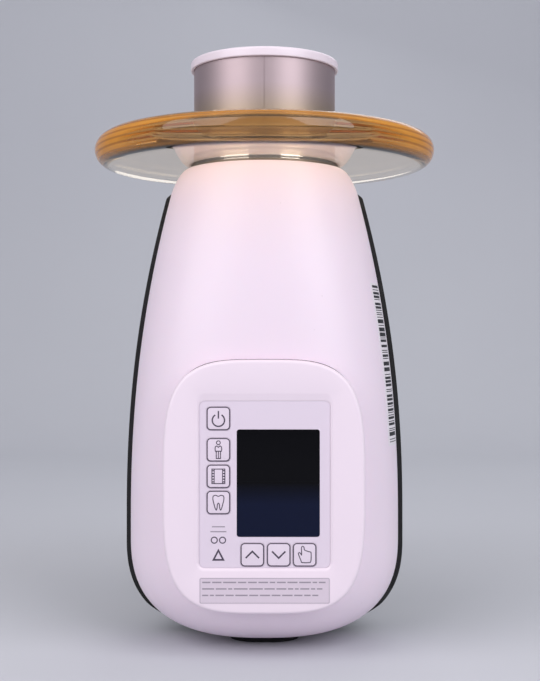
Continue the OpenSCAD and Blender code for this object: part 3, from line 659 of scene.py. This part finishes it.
def body_point(z, angle, inset, proud):
    """A point of the body's surface; angle is the section's own, 270 degrees on the display side."""
    n = 2 / section_power(z)
    base = (1 - proud) * FOOT_H
    hx = half_size(z, HALF_W, SHOULDER_IN, inset, base) + proud * rail_at(z)
    top = half_size(z, DEPTH_TOP, SHOULDER_FLAT, inset, base)
    under = half_size(z, DEPTH_UNDER, SHOULDER_UNDER, inset, base)
    c, s = math.cos(math.radians(angle)), math.sin(math.radians(angle))
    return (hx * spow(c, n), spow(s, n) * (top if s < 0 else under), z)


def parting_angle(z, inset, proud, side):
    """Angle at which a section meets the plane where the two shells part."""
    under = half_size(z, DEPTH_UNDER, SHOULDER_UNDER, inset, (1 - proud) * FOOT_H)
    y = PART_LINE + side * GAP / 2
    return math.degrees(math.asin((y / under) ** (section_power(z) / 2)))


def heights(low, high, rear=44, middle_rows=46, nose=22):
    """Heights of the sections, close together where the body rounds off at its ends."""
    top = FOOT_H + REAR_H
    rows = [low + (top - low) * (1 - math.cos(math.pi / 2 * i / rear)) for i in range(rear)]
    rows += [top + (SHOULDER_Z - top) * i / middle_rows for i in range(middle_rows)]
    rows += [SHOULDER_Z + (high - SHOULDER_Z) * math.sin(math.pi / 2 * i / nose) for i in range(nose + 1)]
    return rows


def shell_side(low, side, inset, columns):
    """One skin of a shell, row by row. side -1 is the display side."""
    proud = 1 if side > 0 and not inset else 0
    rows = []
    for z in heights(low, BODY_H - inset):
        a = parting_angle(z, inset, proud, side)
        first, last = (180 - a, 360 + a) if side < 0 else (a, 180 - a)
        turns = [first + (last - first) * c / columns for c in range(columns + 1)]
        rows.append([body_point(z, angle, inset, proud) for angle in turns])
    if not inset:
        reach = [math.hypot(x, y) for x, y, _ in rows[-1]]
        top = [(x * NOSE_BORE_R / r, y * NOSE_BORE_R / r, z) for r, (x, y, z) in zip(reach, rows[-1])]
        between = [tuple((p + q) / 2 for p, q in zip(a, b)) for a, b in zip(rows[-1], top)]
        rows += [between, top]
    return rows


def body_shell(name, side, columns):
    """A shell with an outer and an inner skin, joined along the parting plane, the rear end and the nose."""
    outer = shell_side(FOOT_H if side < 0 else 0.0, side, 0.0, columns)
    inner = shell_side(FOOT_H + WALL, side, WALL, columns)
    inner += [inner[-1], inner[-1]]
    n, rows = columns + 1, len(outer)
    points = [p for row in outer for p in row] + [p for row in inner for p in row]
    offset = rows * n
    faces = grid_faces(rows, n) + [tuple(reversed(f)) for f in grid_faces(rows, n, start=offset)]
    for r in range(rows - 1):
        for c in (0, columns):
            a, b = r * n + c, (r + 1) * n + c
            faces.append((a, b, b + offset, a + offset))
    for c in range(columns):
        a, b = (rows - 1) * n + c, (rows - 1) * n + c + 1
        faces.append((a, b, b + offset, a + offset))
    faces += [tuple(range(n)), tuple(offset + c for c in range(n)), (0, columns, columns + offset, offset)]
    return mesh_object(name, points, faces)


def bezel_outline(inset, count=160):
    """The bezel's outline, a superellipse, smaller by inset."""
    half, centre = size("control_bezel") / 2, middle("control_bezel")
    return superellipse(half.x - inset, half.z - inset, BEZEL_POWER, count, (centre.x, centre.z))


def upper_shell():
    shell = body_shell("upper_shell_skin", -1, 150)
    combine(shell, prism("cut", bezel_outline(-GAP), -0.1, -0.03), "DIFFERENCE")
    bevel(shell, 0.35 * MM, 2, 50)
    settle(shell, HOUSING, M["white"], ["upper_shell"])


def screw_places():
    """Centres of the four shell screws, from the CAD's group of them."""
    low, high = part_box("shell_screws")
    r = 2.9 * MM
    return [(x, z) for x in (low.x + r, high.x - r) for z in (low.z + r, high.z - r)]


def collar():
    """The raised collar that the handset seats against, flaring softly into the shell."""
    rings = []
    for i in range(13):
        t = i / 12
        z = (-18 + 17.4 * t) * MM
        eased, flare = 0.4 * smooth(t, 0.94, 1), 5.0 * (1 - t) ** 3
        a, b = (COLLAR_W - eased + flare) * MM, (COLLAR_D - eased + flare) * MM
        rings.append([handset_frame @ Vector((x, y, z)) for x, y in superellipse(a, b, COLLAR_POWER, 96)])
    return skin("collar", rings)


def foot():
    """The foot under the rear end, part of the dark shell, with its lower edge rounded."""
    edge = 0.8 * MM
    levels = [(edge * (1 - math.sin(a)), edge * (1 - math.cos(a))) for a in quarter(5)] + [(0, FOOT_H - GAP)]
    rings = []
    for inset, z in levels:
        outline = superellipse(FOOT_W / 2 - inset, FOOT_DEPTH / 2 - inset, COLLAR_POWER, 72, (0, FOOT_Y))
        rings.append([(x, y, z) for x, y in outline])
    return skin("foot", rings)


def lower_shell():
    shell = body_shell("lower_shell_skin", 1, 110)
    combine(shell, foot(), "UNION")
    combine(shell, collar(), "UNION")
    combine(shell, slab((-17.1, -20.1, -45), (17.1, 20.1, 20)), "DIFFERENCE")
    for x, z in screw_places():
        combine(shell, rod((x, 0.030, z), (x, 0.080, z), 3.2 * MM), "DIFFERENCE")
    side = middle("side_screws")
    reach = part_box("side_screws")[1].x
    for s in (-1, 1):
        combine(shell, rod((s * (reach - 1.6 * MM), side.y, side.z), (s * 0.09, side.y, side.z), 3 * MM),
                "DIFFERENCE")
    bevel(shell, 0.3 * MM, 2, 50)
    settle(shell, HOUSING, M["black"], ["lower_shell"])


# ---------------------------------------------------------------- control panel

FACE_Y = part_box("control_bezel")[0].y
FILM_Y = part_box("keypad_overlay")[0].y
PRINT = 0.02 * MM


def radial(outline, centre, angles):
    """Points of the bezel's superellipse along the given directions from a centre."""
    half, mid = size("control_bezel") / 2, middle("control_bezel")
    a, b = half.x - outline, half.z - outline
    points = []
    for t in angles:
        c, s = abs(math.cos(t)), abs(math.sin(t))
        r = ((c / a) ** BEZEL_POWER + (s / b) ** BEZEL_POWER) ** (-1 / BEZEL_POWER)
        points.append((mid.x + r * math.cos(t), mid.z + r * math.sin(t)))
    return points


def control_bezel():
    """The raised pad: soft outer edge, flat face, a sloped lead-in and the recess for the overlay."""
    film, foot_y = size("keypad_overlay"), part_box("control_bezel")[1].y
    at = middle("keypad_overlay")
    edge, lead, lead_top, ledge = 1.6 * MM, 0.9 * MM, 3.0 * MM, 2 * MM
    plate_back, seat = FACE_Y + 3 * MM, FILM_Y + 0.8 * MM
    pocket = rounded(film.x + GAP, film.z + GAP, 2.5 * MM, (at.x, at.z))
    angles = [math.atan2(z - at.z, x - at.x) for x, z in pocket]
    soft = [(edge * (1 - math.cos(a)), FACE_Y + edge * (1 - math.sin(a))) for a in quarter(8)]
    wide, tall, centre = film.x + 2 * lead, film.z + lead + lead_top, (at.x, at.z + (lead_top - lead) / 2)
    slope = rounded(wide, tall, 3.4 * MM, centre)
    near = rounded(wide + 1.4 * MM, tall + 1.4 * MM, 4.0 * MM, centre)
    opening = rounded(film.x - 2 * ledge, film.z - 2 * ledge, 1.0 * MM, (at.x, at.z))
    rings = [(radial(0, at, angles), foot_y)]
    rings += [(radial(inset, at, angles), y) for inset, y in soft]
    rings += [(near, FACE_Y), (slope, FACE_Y + 0.20 * MM), (pocket, FILM_Y - 0.10 * MM), (pocket, seat),
              (opening, seat), (opening, plate_back), (radial(2.4 * MM, at, angles), plate_back),
              (radial(2.4 * MM, at, angles), foot_y)]
    points = [(x, y, z) for outline, y in rings for x, z in outline]
    n = len(pocket)
    faces = grid_faces(len(rings), n, closed=True)
    last = (len(rings) - 1) * n
    faces += [(last + i, last + (i + 1) % n, (i + 1) % n, i) for i in range(n)]
    bezel = mesh_object("control_bezel_pad", points, faces, weld=0.000002)
    settle(bezel, HOUSING, M["bezel"], ["control_bezel"], angle=30)


def stroke(path, width, y, closed=False):
    """A flat ribbon along a path drawn in X and Z, as points and faces at depth y."""
    points, faces, n = [], [], len(path)
    for i, (x, z) in enumerate(path):
        before = path[i - 1] if i > 0 or closed else path[i]
        after = path[(i + 1) % n] if i < n - 1 or closed else path[i]
        d1 = Vector((x - before[0], z - before[1]))
        d2 = Vector((after[0] - x, after[1] - z))
        d1 = d1.normalized() if d1.length else d2.normalized()
        d2 = d2.normalized() if d2.length else d1
        tangent = (d1 + d2).normalized()
        normal = Vector((-tangent.y, tangent.x))
        reach = width / 2 / max(0.5, normal.dot(Vector((-d1.y, d1.x))))
        across = normal * reach
        points += [(x + across.x, y, z + across.y), (x - across.x, y, z - across.y)]
    for i in range(n if closed else n - 1):
        a, b = 2 * i, 2 * ((i + 1) % n)
        faces.append((a, a + 1, b + 1, b))
    return points, faces


def print_on(name, strokes, body, material, thickness=0.02 * MM):
    """Printed marks as thin raised ink. strokes is a list of (points, faces) at the film's surface."""
    points, faces = [], []
    for p, f in strokes:
        start = len(points)
        points += p
        faces += [tuple(start + i for i in face) for face in f]
    obj = mesh_object(name, points, faces, weld=0.0000001)
    modifier = obj.modifiers.new("ink", "SOLIDIFY")
    modifier.thickness = thickness
    modifier.offset = 0
    apply_modifiers(obj)
    return settle(obj, body, M[material])


def bend(points, steps=6):
    """A closed smooth curve through the points."""
    n, out = len(points), []
    for i in range(n):
        p0, p1, p2, p3 = (Vector(points[(i + k - 1) % n]) for k in range(4))
        for s in range(steps):
            t = s / steps
            out.append(tuple(0.5 * (2 * p1 + (p2 - p0) * t + (2 * p0 - 5 * p1 + 4 * p2 - p3) * t * t
                                    + (3 * p1 - p0 - 3 * p2 + p3) * t ** 3)))
    return out


def icon_power():
    return [(arc(0, -0.8, 2.75, 121, 419, 28), False, 0.62), ([(0, -0.05), (0, 3.4)], False, 0.62)]


def icon_patient():
    torso = [(-1.35, 1.35), (-0.7, 1.75), (0, 1.1), (0.7, 1.75), (1.35, 1.35), (1.5, 0.4), (1.35, -0.65),
             (-1.35, -0.65), (-1.5, 0.4)]
    legs = [(-0.95, -0.65), (-0.95, -3.9), (0.95, -3.9), (0.95, -0.65)]
    return [(arc(0, 3.15, 0.85, 0, 360, 20)[:-1], True, 0.42), (torso, True, 0.42), (legs, False, 0.42),
            ([(0, -0.65), (0, -3.9)], False, 0.36)]


def icon_film():
    marks = [([(-2.9, -3.25), (2.9, -3.25), (2.9, 3.25), (-2.9, 3.25)], True, 0.42),
             ([(-1.85, -3.25), (-1.85, 3.25)], False, 0.34), ([(1.85, -3.25), (1.85, 3.25)], False, 0.34)]
    for side in (-2.37, 2.37):
        for z in (-2.5 + 1.25 * k for k in range(5)):
            marks.append(([(side - 0.4, z), (side + 0.4, z)], False, 0.55))
    return marks


def icon_tooth():
    half = [(1.2, 3.2), (2.3, 2.8), (2.45, 1.3), (1.95, -0.8), (1.45, -2.6), (0.95, -3.4), (0.6, -2.4),
            (0.42, -0.9)]
    outline = [(0, 2.75)] + half + [(0, -0.3)] + [(-x, z) for x, z in reversed(half)]
    return [(bend(outline, 5), True, 0.42)]


def icon_chevron(direction):
    return [([(-3.0, -1.5 * direction), (0, 1.5 * direction), (3.0, -1.5 * direction)], False, 0.72)]


def icon_hand():
    outline = [(-0.85, 3.75), (-0.3, 3.3), (-0.15, 2.35), (0.2, 2.0), (1.4, 1.55), (2.6, 1.2),
               (2.9, 0.8), (2.9, -1.8), (2.7, -3.0), (2.1, -3.5), (-1.1, -3.5), (-1.6, -2.7), (-2.7, 0.1),
               (-2.8, 0.7), (-2.3, 0.95), (-1.85, 0.6), (-1.4, -0.1), (-1.35, 0.9), (-1.4, 3.2)]
    return [(bend(outline, 4), True, 0.42)]


KEY_ICONS = {
    "key_power": icon_power(), "key_patient": icon_patient(),
    "key_film": icon_film(), "key_tooth": icon_tooth(),
    "key_up": icon_chevron(1), "key_down": icon_chevron(-1), "key_hand": icon_hand(),
}


def key_caps():
    """Each key: a softly edged cap that stands for its CAD node, with its printed outline and pictogram."""
    for node, marks in KEY_ICONS.items():
        low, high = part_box(node)
        mid = (low + high) / 2
        side, flange_y, flange = 10.8 * MM, low.y + 1.05 * MM, high.x - low.x
        outlines = [(side - 0.5 * MM, low.y, 1.8), (side - 0.2 * MM, low.y + 0.03 * MM, 1.95),
                    (side, low.y + 0.15 * MM, 2.0), (side, flange_y, 2.0), (flange, flange_y, 2.0),
                    (flange, flange_y + 0.6 * MM, 2.0), (3 * MM, flange_y + 0.6 * MM, 1.49),
                    (3 * MM, high.y, 1.49)]
        rings = [[(x, y, z) for x, z in rounded(w, w, r * MM, (mid.x, mid.z), 6, 6)] for w, y, r in outlines]
        cap = skin(node + "_keycap", rings, FINE_WELD)
        settle(cap, node + "_cap", M["key"], [node])
        y = low.y - PRINT
        line = side - 0.75 * MM
        frame_line = rounded(line, line, 1.65 * MM, (mid.x, mid.z), 6, 4)
        strokes = [stroke(frame_line, 0.5 * MM, y, closed=True)]
        for path, closed, width in marks:
            moved = [(mid.x + x * MM, mid.z + z * MM) for x, z in path]
            strokes.append(stroke(moved, width * MM, y, closed))
        print_on(node + "_print", strokes, node + "_cap", "ink")


def panel_prints():
    """Generic print on the overlay: two rings, a plain triangle and bars in place of small print."""
    y = FILM_Y - PRINT / 2
    column = middle("key_tooth").x
    strokes = []
    for side in (-1, 1):
        centre = (column + side * 1.85 * MM, 56.2 * MM)
        ring = [(centre[0] + x * MM, centre[1] + z * MM) for x, z in arc(0, 0, 1.35, 0, 360, 28)[:-1]]
        strokes.append(stroke(ring, 0.5 * MM, y, closed=True))
    triangle = [(column - 2.2 * MM, 47.4 * MM), (column + 2.2 * MM, 47.4 * MM), (column, 51.6 * MM)]
    strokes.append(stroke(triangle, 0.8 * MM, y, closed=True))
    print_on("overlay_marks", strokes, HOUSING, "ink")
    bars = [stroke([(column - w * MM, z * MM), (column + w * MM, z * MM)], 0.5 * MM, y)
            for w, z in ((2.9, 62.2), (3.6, 60.0))]
    print_on("overlay_small_print", bars, HOUSING, "pale_ink")


def notice_label():
    """The blank notice sticker below the keypad, with grey bars in place of its lines of print."""
    at = middle("keypad_overlay")
    low, high = 27.9 * MM, 39.6 * MM
    half = 29.2 * MM
    centre = (at.x, (low + high) / 2)
    outline = rounded(2 * half, high - low, 0.8 * MM, centre, 5, 6)
    settle(prism("notice_label", outline, FACE_Y - 0.06 * MM, FACE_Y), HOUSING, M["label"])
    y = FACE_Y - 0.07 * MM
    random.seed(11)
    strokes = []
    for row in range(3):
        z = high - (2.1 + 2.9 * row) * MM
        x = centre[0] - half + 1.3 * MM
        end = centre[0] + half - (1.2 + 2.0 * row) * MM
        while x < end:
            word = random.uniform(1.6, 6.2) * MM
            strokes.append(stroke([(x, z), (min(x + word, end), z)], 0.62 * MM, y))
            x += word + 0.75 * MM
    print_on("notice_bars", strokes, HOUSING, "pale_ink")
    border = rounded(2 * half - 0.7 * MM, high - low - 0.7 * MM, 0.6 * MM, centre, 5, 6)
    print_on("notice_border", [stroke(border, 0.16 * MM, y, closed=True)], HOUSING, "pale_ink")


def on_flank(z, angle, lift):
    """A point just off the white shell's surface."""
    x, y, _ = body_point(z, angle, 0.0, 0)
    outwards = Vector((x, y, 0)).normalized() * lift
    return Vector((x, y, z)) + outwards


def flank_sticker():
    """The stripe sticker that wraps the right flank, with a seeded pattern of bars across it."""
    low, high, first, last = 96 * MM, 173 * MM, 333.0, 350.0

    def patch(z0, z1, a0, a1, lift, nr, nc):
        points = [on_flank(z0 + (z1 - z0) * r / nr, a0 + (a1 - a0) * c / nc, lift)
                  for r in range(nr + 1) for c in range(nc + 1)]
        return points, grid_faces(nr + 1, nc + 1)

    sheet = patch(low, high, first, last, 0.03 * MM, 60, 16)
    print_on("flank_sticker", [sheet], HOUSING, "sticker", thickness=0.06 * MM)
    random.seed(4)
    bars, z = [], low + 1.6 * MM
    while z < high - 1.6 * MM:
        width = random.choice((0.4, 0.4, 1.2, 1.9)) * MM
        bars.append(patch(z, z + width, first + 2.0, last - 3.0, 0.075 * MM, 1, 8))
        z += width + random.choice((0.5, 0.5, 0.8, 1.3)) * MM
    print_on("flank_bars", bars, HOUSING, "black_ink", thickness=0.02 * MM)


# ---------------------------------------------------------------- cone and shield


def cone_tube():
    """The brushed tube with its flange, and the thin seam down its front."""
    low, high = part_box("cone_tube")
    r = 34.5 * MM
    inner, flange_top = r - 2 * MM, low.z + 3 * MM
    profile = [(inner, low.z), (high.x, low.z), (high.x, flange_top), (r, flange_top)]
    profile += [(r, flange_top + (high.z - 0.3 * MM - flange_top) * i / 12) for i in range(1, 13)]
    profile += [(r - 0.3 * MM, high.z), (inner, high.z)]
    tube = revolve("cone_tube_metal", profile)
    seam = block("cut", (-0.18 * MM, -r - 1 * MM, flange_top), (0.18 * MM, -r + 0.25 * MM, high.z + 1 * MM))
    combine(tube, seam, "DIFFERENCE")
    settle(tube, HOUSING, M["cone"], ["cone_tube"], angle=25)


def end_ring():
    """The ring over the cone's open end: a lip on the tube's end, softly rounded on top."""
    low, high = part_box("cone_end_ring")
    r, bore, tube = high.x, 31.45 * MM, 34.55 * MM
    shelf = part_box("cone_tube")[1].z + 0.05 * MM
    under, over, inside = 0.5 * MM, 1.3 * MM, 0.9 * MM
    profile = [(bore, shelf), (tube, shelf), (tube, low.z + 0.3 * MM), (tube + 0.3 * MM, low.z)]
    profile += arc(r - under, low.z + under, under, -90, 0, 6)
    profile += arc(r - over, high.z - over, over, 0, 90, 12)
    profile += arc(bore + inside, high.z - inside, inside, 90, 180, 6)
    ring = revolve("cone_end_ring_cap", profile)
    settle(ring, HOUSING, M["ring"], ["cone_end_ring"])


def shield_disc():
    """The amber disc: flat polished faces, a full round rim and the bore with its ring groove."""
    low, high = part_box("shield_disc")
    r, half = high.x, (high.z - low.z) / 2
    bore, mid, groove = 34.6 * MM, (low.z + high.z) / 2, 1.3 * MM
    profile = [(bore, mid - groove), (bore, low.z + 0.3 * MM), (bore + 0.3 * MM, low.z)]
    profile += [(bore + 0.3 * MM + (r - half - bore) * i / 8, low.z) for i in range(1, 8)]
    profile += [(x, z) for x, z in arc(r - half, mid, half, -90, 90, 40)]
    profile += [(bore + 0.3 * MM + (r - half - bore) * i / 8, high.z) for i in range(7, 0, -1)]
    profile += [(bore + 0.3 * MM, high.z), (bore, high.z - 0.3 * MM), (bore, mid + groove)]
    profile += [(bore + 2.6 * MM, mid + groove), (bore + 2.6 * MM, mid - groove)]
    disc = revolve("shield_disc_acrylic", profile)
    settle(disc, "shield", M["shield"], ["shield_disc"], angle=30)


# ---------------------------------------------------------------- handset

slide = next(j for j in frame["joints"] if j["name"] == "handset_slide")
RAKE = math.atan2(-slide["axis"][2], slide["axis"][1])
HANDSET_AT = Vector((0, 59, 83)) * MM
handset_frame = Matrix.Translation(HANDSET_AT) @ Matrix.Rotation(-math.pi / 2 - RAKE, 4, "X")


def in_handset(*point):
    """A point given in the handset's own frame, in millimetres."""
    return handset_frame @ (Vector(point) * MM)


def handset_rod(start, end, radius):
    return rod(in_handset(*start), in_handset(*end), radius * MM)


GRIP_HALF_W, GRIP_HALF_D = 19.8, 24.0
COLLAR_W, COLLAR_D = 24.0, 27.0
BASE_W, BASE_FRONT, BASE_REAR = 26.0, 26.0, 48.2
HANDSET_LEN, BASE_CAP_T, HANDSET_WALL = 147.5, 4.5, 2.2
HANDSET_SCREWS = ((15, 32), (30, 119))
CHARGE_Y = (4, 14, 24)
BASE_SCREWS_X, BASE_SCREWS_Y = 21, 10
TRIGGER_PIN = (-15, 22)


def handset_x(z):
    return (GRIP_HALF_W + (COLLAR_W - GRIP_HALF_W) * (1 - smooth(z, 0, 22))
            + (BASE_W - GRIP_HALF_W) * smooth(z, 104, 124))


def handset_y(z, base, start):
    return (GRIP_HALF_D + (COLLAR_D - GRIP_HALF_D) * (1 - smooth(z, 0, 22))
            + (base - GRIP_HALF_D) * smooth(z, start, 126))


def grip_groove(z, angle):
    """Depth of the finger grooves across the back of the grip, in millimetres."""
    if not 50 < z < 98 or angle < 15:
        return 0.0
    wave = 0.5 - 0.5 * math.cos(2 * math.pi * (z - 50) / 6)
    return 0.55 * wave ** 2 * smooth(angle, 15, 40) * smooth(z, 50, 56) * (1 - smooth(z, 92, 98))


def handset_point(z, angle, inset):
    """A point of the handset's section at z; angle 90 is its back and -90 its trigger side."""
    n = 2 / (2.4 + 0.8 * smooth(z, 104, 124))
    c, s = math.cos(math.radians(angle)), math.sin(math.radians(angle))
    depth = handset_y(z, BASE_REAR, 98) if s > 0 else handset_y(z, BASE_FRONT, 104)
    t = inset if inset else grip_groove(z, angle)
    x = (handset_x(z) - t) * spow(c, n) if abs(angle) < 90 else 0.0
    return Vector((x, (depth - t) * spow(s, n), z)) * MM


def floor_cut():
    return block("cut", (-0.1, -0.1, -0.1), (0.1, 0.4, 0.0))


def handset_shell(name, node, side):
    """Half of the handset's casing, with a parting groove, openings and the flat on its heel."""
    columns = 56
    top, low = 0.3, HANDSET_LEN - BASE_CAP_T
    levels = [top + 0.25 * i for i in range(4)] + [1.5 + (low - 1.5) * i / 190 for i in range(191)]
    angles = [90 - 180 * i / columns for i in range(columns + 1)]
    rings = []
    for z in levels:
        ease = 0.5 * (1 - smooth(z, top, 1.3))
        outer = [handset_point(z, a, 0) * (1 - ease * 0.02) for a in angles]
        inner = [handset_point(z, a, HANDSET_WALL) for a in reversed(angles)]
        rings.append([Vector((max(p.x, 0) + 0.05 * MM, p.y, z * MM)) for p in outer + inner])
    n = len(rings[0])
    faces = grid_faces(len(rings), n, closed=True)
    for start in (0, (len(rings) - 1) * n):
        faces += [(start + i, start + i + 1, start + n - 2 - i, start + n - 1 - i) for i in range(n // 2 - 1)]
    flip = Matrix.Scale(side, 4, (1, 0, 0))
    points = [handset_frame @ (flip @ p) for ring in rings for p in ring]
    shell = mesh_object(name, points, faces)
    cuts = [slab((-8.4, -50, 15.5), (8.4, -10, 56.5)), slab((-6.4, 21, 9.6), (6.4, 50, 22.4)), floor_cut()]
    pin_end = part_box("trigger_pin")[1].x / MM - 0.3
    cuts.append(handset_rod((side * pin_end, *TRIGGER_PIN), (side * 40, *TRIGGER_PIN), 1.9))
    if side > 0:
        cuts += [handset_rod((GRIP_HALF_W - 4, y, z), (40, y, z), 2.5) for y, z in HANDSET_SCREWS]
    for cutter in cuts:
        combine(shell, cutter, "DIFFERENCE")
    bevel(shell, 0.3 * MM, 2, 50)
    settle(shell, HANDSET, M["grip"], [node])


def base_cap():
    """The cap that closes the handset's foot, with wells for its contacts and screws."""
    def outline(inset, z):
        unit = superellipse(1, 1, CAP_POWER, 96)
        return [in_handset((BASE_W - inset) * x, y * ((BASE_REAR if y > 0 else BASE_FRONT) - inset), z)
                for x, y in unit]

    low, high, edge = HANDSET_LEN - BASE_CAP_T, HANDSET_LEN, 1.4
    rings = [outline(0.25, low + 0.02), outline(0.0, low + 0.3)]
    rings += [outline(edge * (1 - math.cos(a)), high - edge * (1 - math.sin(a))) for a in quarter(6)]
    cap = skin("handset_base_cap_moulding", rings)
    wells = [((0, y), 3.05, 1.0) for y in CHARGE_Y]
    wells += [((x, BASE_SCREWS_Y), 2.3, 2.0) for x in (-BASE_SCREWS_X, BASE_SCREWS_X)]
    for (x, y), r, depth in wells:
        combine(cap, handset_rod((x, y, high - depth), (x, y, high + 3), r), "DIFFERENCE")
    combine(cap, floor_cut(), "DIFFERENCE")
    bevel(cap, 0.2 * MM, 2, 50)
    settle(cap, HANDSET, M["black"], ["handset_base_cap"])


def trigger():
    """The trigger: a hollowed finger face with fine ridges, and rounded edges."""
    tip, root = Vector((-33, 50)), Vector((-26.5, 23))
    front = []
    for i in range(49):
        t = i / 48
        p = tip + (root - tip) * t
        ridged = smooth(t, 0.08, 0.2) * (1 - smooth(t, 0.8, 0.92))
        ridge = 0.22 * max(0.0, math.sin(2 * math.pi * 9 * t)) * ridged
        front.append((p.x + 2.6 * math.sin(math.pi * t) + 0.22 - ridge, p.y))
    outline = [(-12.4, 18.5), (-12.4, 49.5), (-14.5, 51.5), (-30, 51.5), (-32.4, 51)] + front
    outline += [(-24.5, 19.6), (-19, 17.8), (-14, 17.6)]
    sides = [[in_handset(x, y, z) for y, z in outline] for x in (-8, 8)]
    lever = skin("trigger_lever", sides, FINE_WELD)
    combine(lever, handset_rod((-12, *TRIGGER_PIN), (12, *TRIGGER_PIN), 2.05), "DIFFERENCE")
    bevel(lever, 0.9 * MM, 4, 60)
    settle(lever, "trigger_lever", M["trigger"], ["trigger"])


def latch_button():
    """The latch: a ridged thumb button with its tongue behind it."""
    button = slab((-6, 20, 10), (6, 26.4, 22), "latch_thumb_button")
    stem, tongue = ((-4.5, 14.2, 12), (4.5, 20.01, 20)), ((-4.5, 14.2, -17), (4.5, 17.2, 12.01))
    hook = ((-1.5, 17.19, -15), (1.5, 17.6, -12))
    for low, high in (stem, tongue, hook):
        combine(button, slab(low, high), "UNION")
    for k in range(4):
        z = 12.2 + 2.4 * k
        combine(button, slab((-7, 25.7, z), (7, 28, z + 1.0)), "DIFFERENCE")
    bevel(button, 0.3 * MM, 3, 40)
    settle(button, "latch", M["trigger"], ["latch_button"])


def coil(node):
    """A coil spring of the handset: a copy of its CAD node's mesh, with the spring material, on the handset's
    body.
    """
    obj = bpy.data.objects.new(node + "_coil", frame["nodes"][node].data.copy())
    obj.matrix_world = frame["nodes"][node].matrix_world
    bpy.context.scene.collection.objects.link(obj)
    settle(obj, HANDSET, M["spring"], [node])
    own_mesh(obj)


# ---------------------------------------------------------------- stage, light, camera


def backdrop():
    """A pale sweep: floor and wall in one curved sheet."""
    depth, rise, bend_r, half = 0.9, 2.2, 0.5, 2.6
    path = [(-2.2, 0.0)] + [(depth + bend_r * math.sin(a), bend_r * (1 - math.cos(a))) for a in quarter(24)]
    path.append((depth + bend_r, rise))
    points = [(x, y, z) for y, z in path for x in (-half, half)]
    floor = mesh_object("backdrop", points, grid_faces(len(path), 2), weld=0.00001)
    n = Nodes("backdrop_paper")
    tone = n.mix(n.noise(3, 3), (0.58, 0.59, 0.63, 1), (0.62, 0.63, 0.67, 1))
    n.set(Base_Color=tone, Roughness=0.9, Normal=n.bump(n.noise(500, 2), 0.00005))
    shade(floor)
    floor.data.materials.append(n.material)


def area_light(name, at, towards, power, width, height, colour=(1, 1, 1)):
    data = bpy.data.lights.new(name, "AREA")
    data.shape = "RECTANGLE"
    data.size, data.size_y = width, height
    data.energy = power
    data.color = colour
    light = bpy.data.objects.new(name, data)
    light.location = at
    light.rotation_euler = (Vector(towards) - Vector(at)).to_track_quat("-Z", "Y").to_euler()
    bpy.context.scene.collection.objects.link(light)


def softbox(name, azimuth, elevation, distance, power, width, height, colour):
    """A softbox round the object; azimuth 0 is straight in front and grows to the right."""
    a, e = math.radians(azimuth), math.radians(elevation)
    centre = Vector((0, 0, 0.15))
    at = centre + distance * Vector((math.sin(a) * math.cos(e), -math.cos(a) * math.cos(e), math.sin(e)))
    area_light(name, at, centre, power, width, height, colour)


def lighting():
    softbox("key_left", -46, 30, 1.5, 11.6, 1.2, 1.3, (1.0, 0.965, 0.985))
    softbox("fill_right", 42, 30, 1.5, 11.5, 0.9, 1.3, (0.98, 0.97, 1.0))
    softbox("top", 0, 80, 1.5, 4.5, 1.8, 1.8, (1.0, 0.98, 1.0))
    softbox("back", 165, 40, 1.4, 2.5, 0.9, 0.7, (1.0, 1.0, 1.0))
    world = bpy.data.worlds.new("studio")
    world.use_nodes = True
    world.node_tree.nodes["Background"].inputs["Color"].default_value = (0.80, 0.83, 0.92, 1)
    world.node_tree.nodes["Background"].inputs["Strength"].default_value = 0.34
    bpy.context.scene.world = world
    bpy.context.scene.view_settings.view_transform = "Standard"


def camera():
    """Level camera in front of the display side, at mid height, with nothing out of focus."""
    data = bpy.data.cameras.new("camera")
    data.sensor_width = 36
    data.lens = 62.2
    data.clip_start = 0.01
    cam = bpy.data.objects.new("camera", data)
    cam.location = (0.0027, -0.578, 0.1456)
    cam.rotation_euler = (math.pi / 2, 0, 0)
    bpy.context.scene.collection.objects.link(cam)
    bpy.context.scene.camera = cam


paint_cad_nodes()
upper_shell()
lower_shell()
control_bezel()
key_caps()
panel_prints()
notice_label()
flank_sticker()
cone_tube()
end_ring()
shield_disc()
handset_shell("handset_right_casing", "handset_right_shell", 1)
handset_shell("handset_left_casing", "handset_left_shell", -1)
base_cap()
trigger()
latch_button()
coil("trigger_spring")
coil("latch_spring")
backdrop()
lighting()
camera()
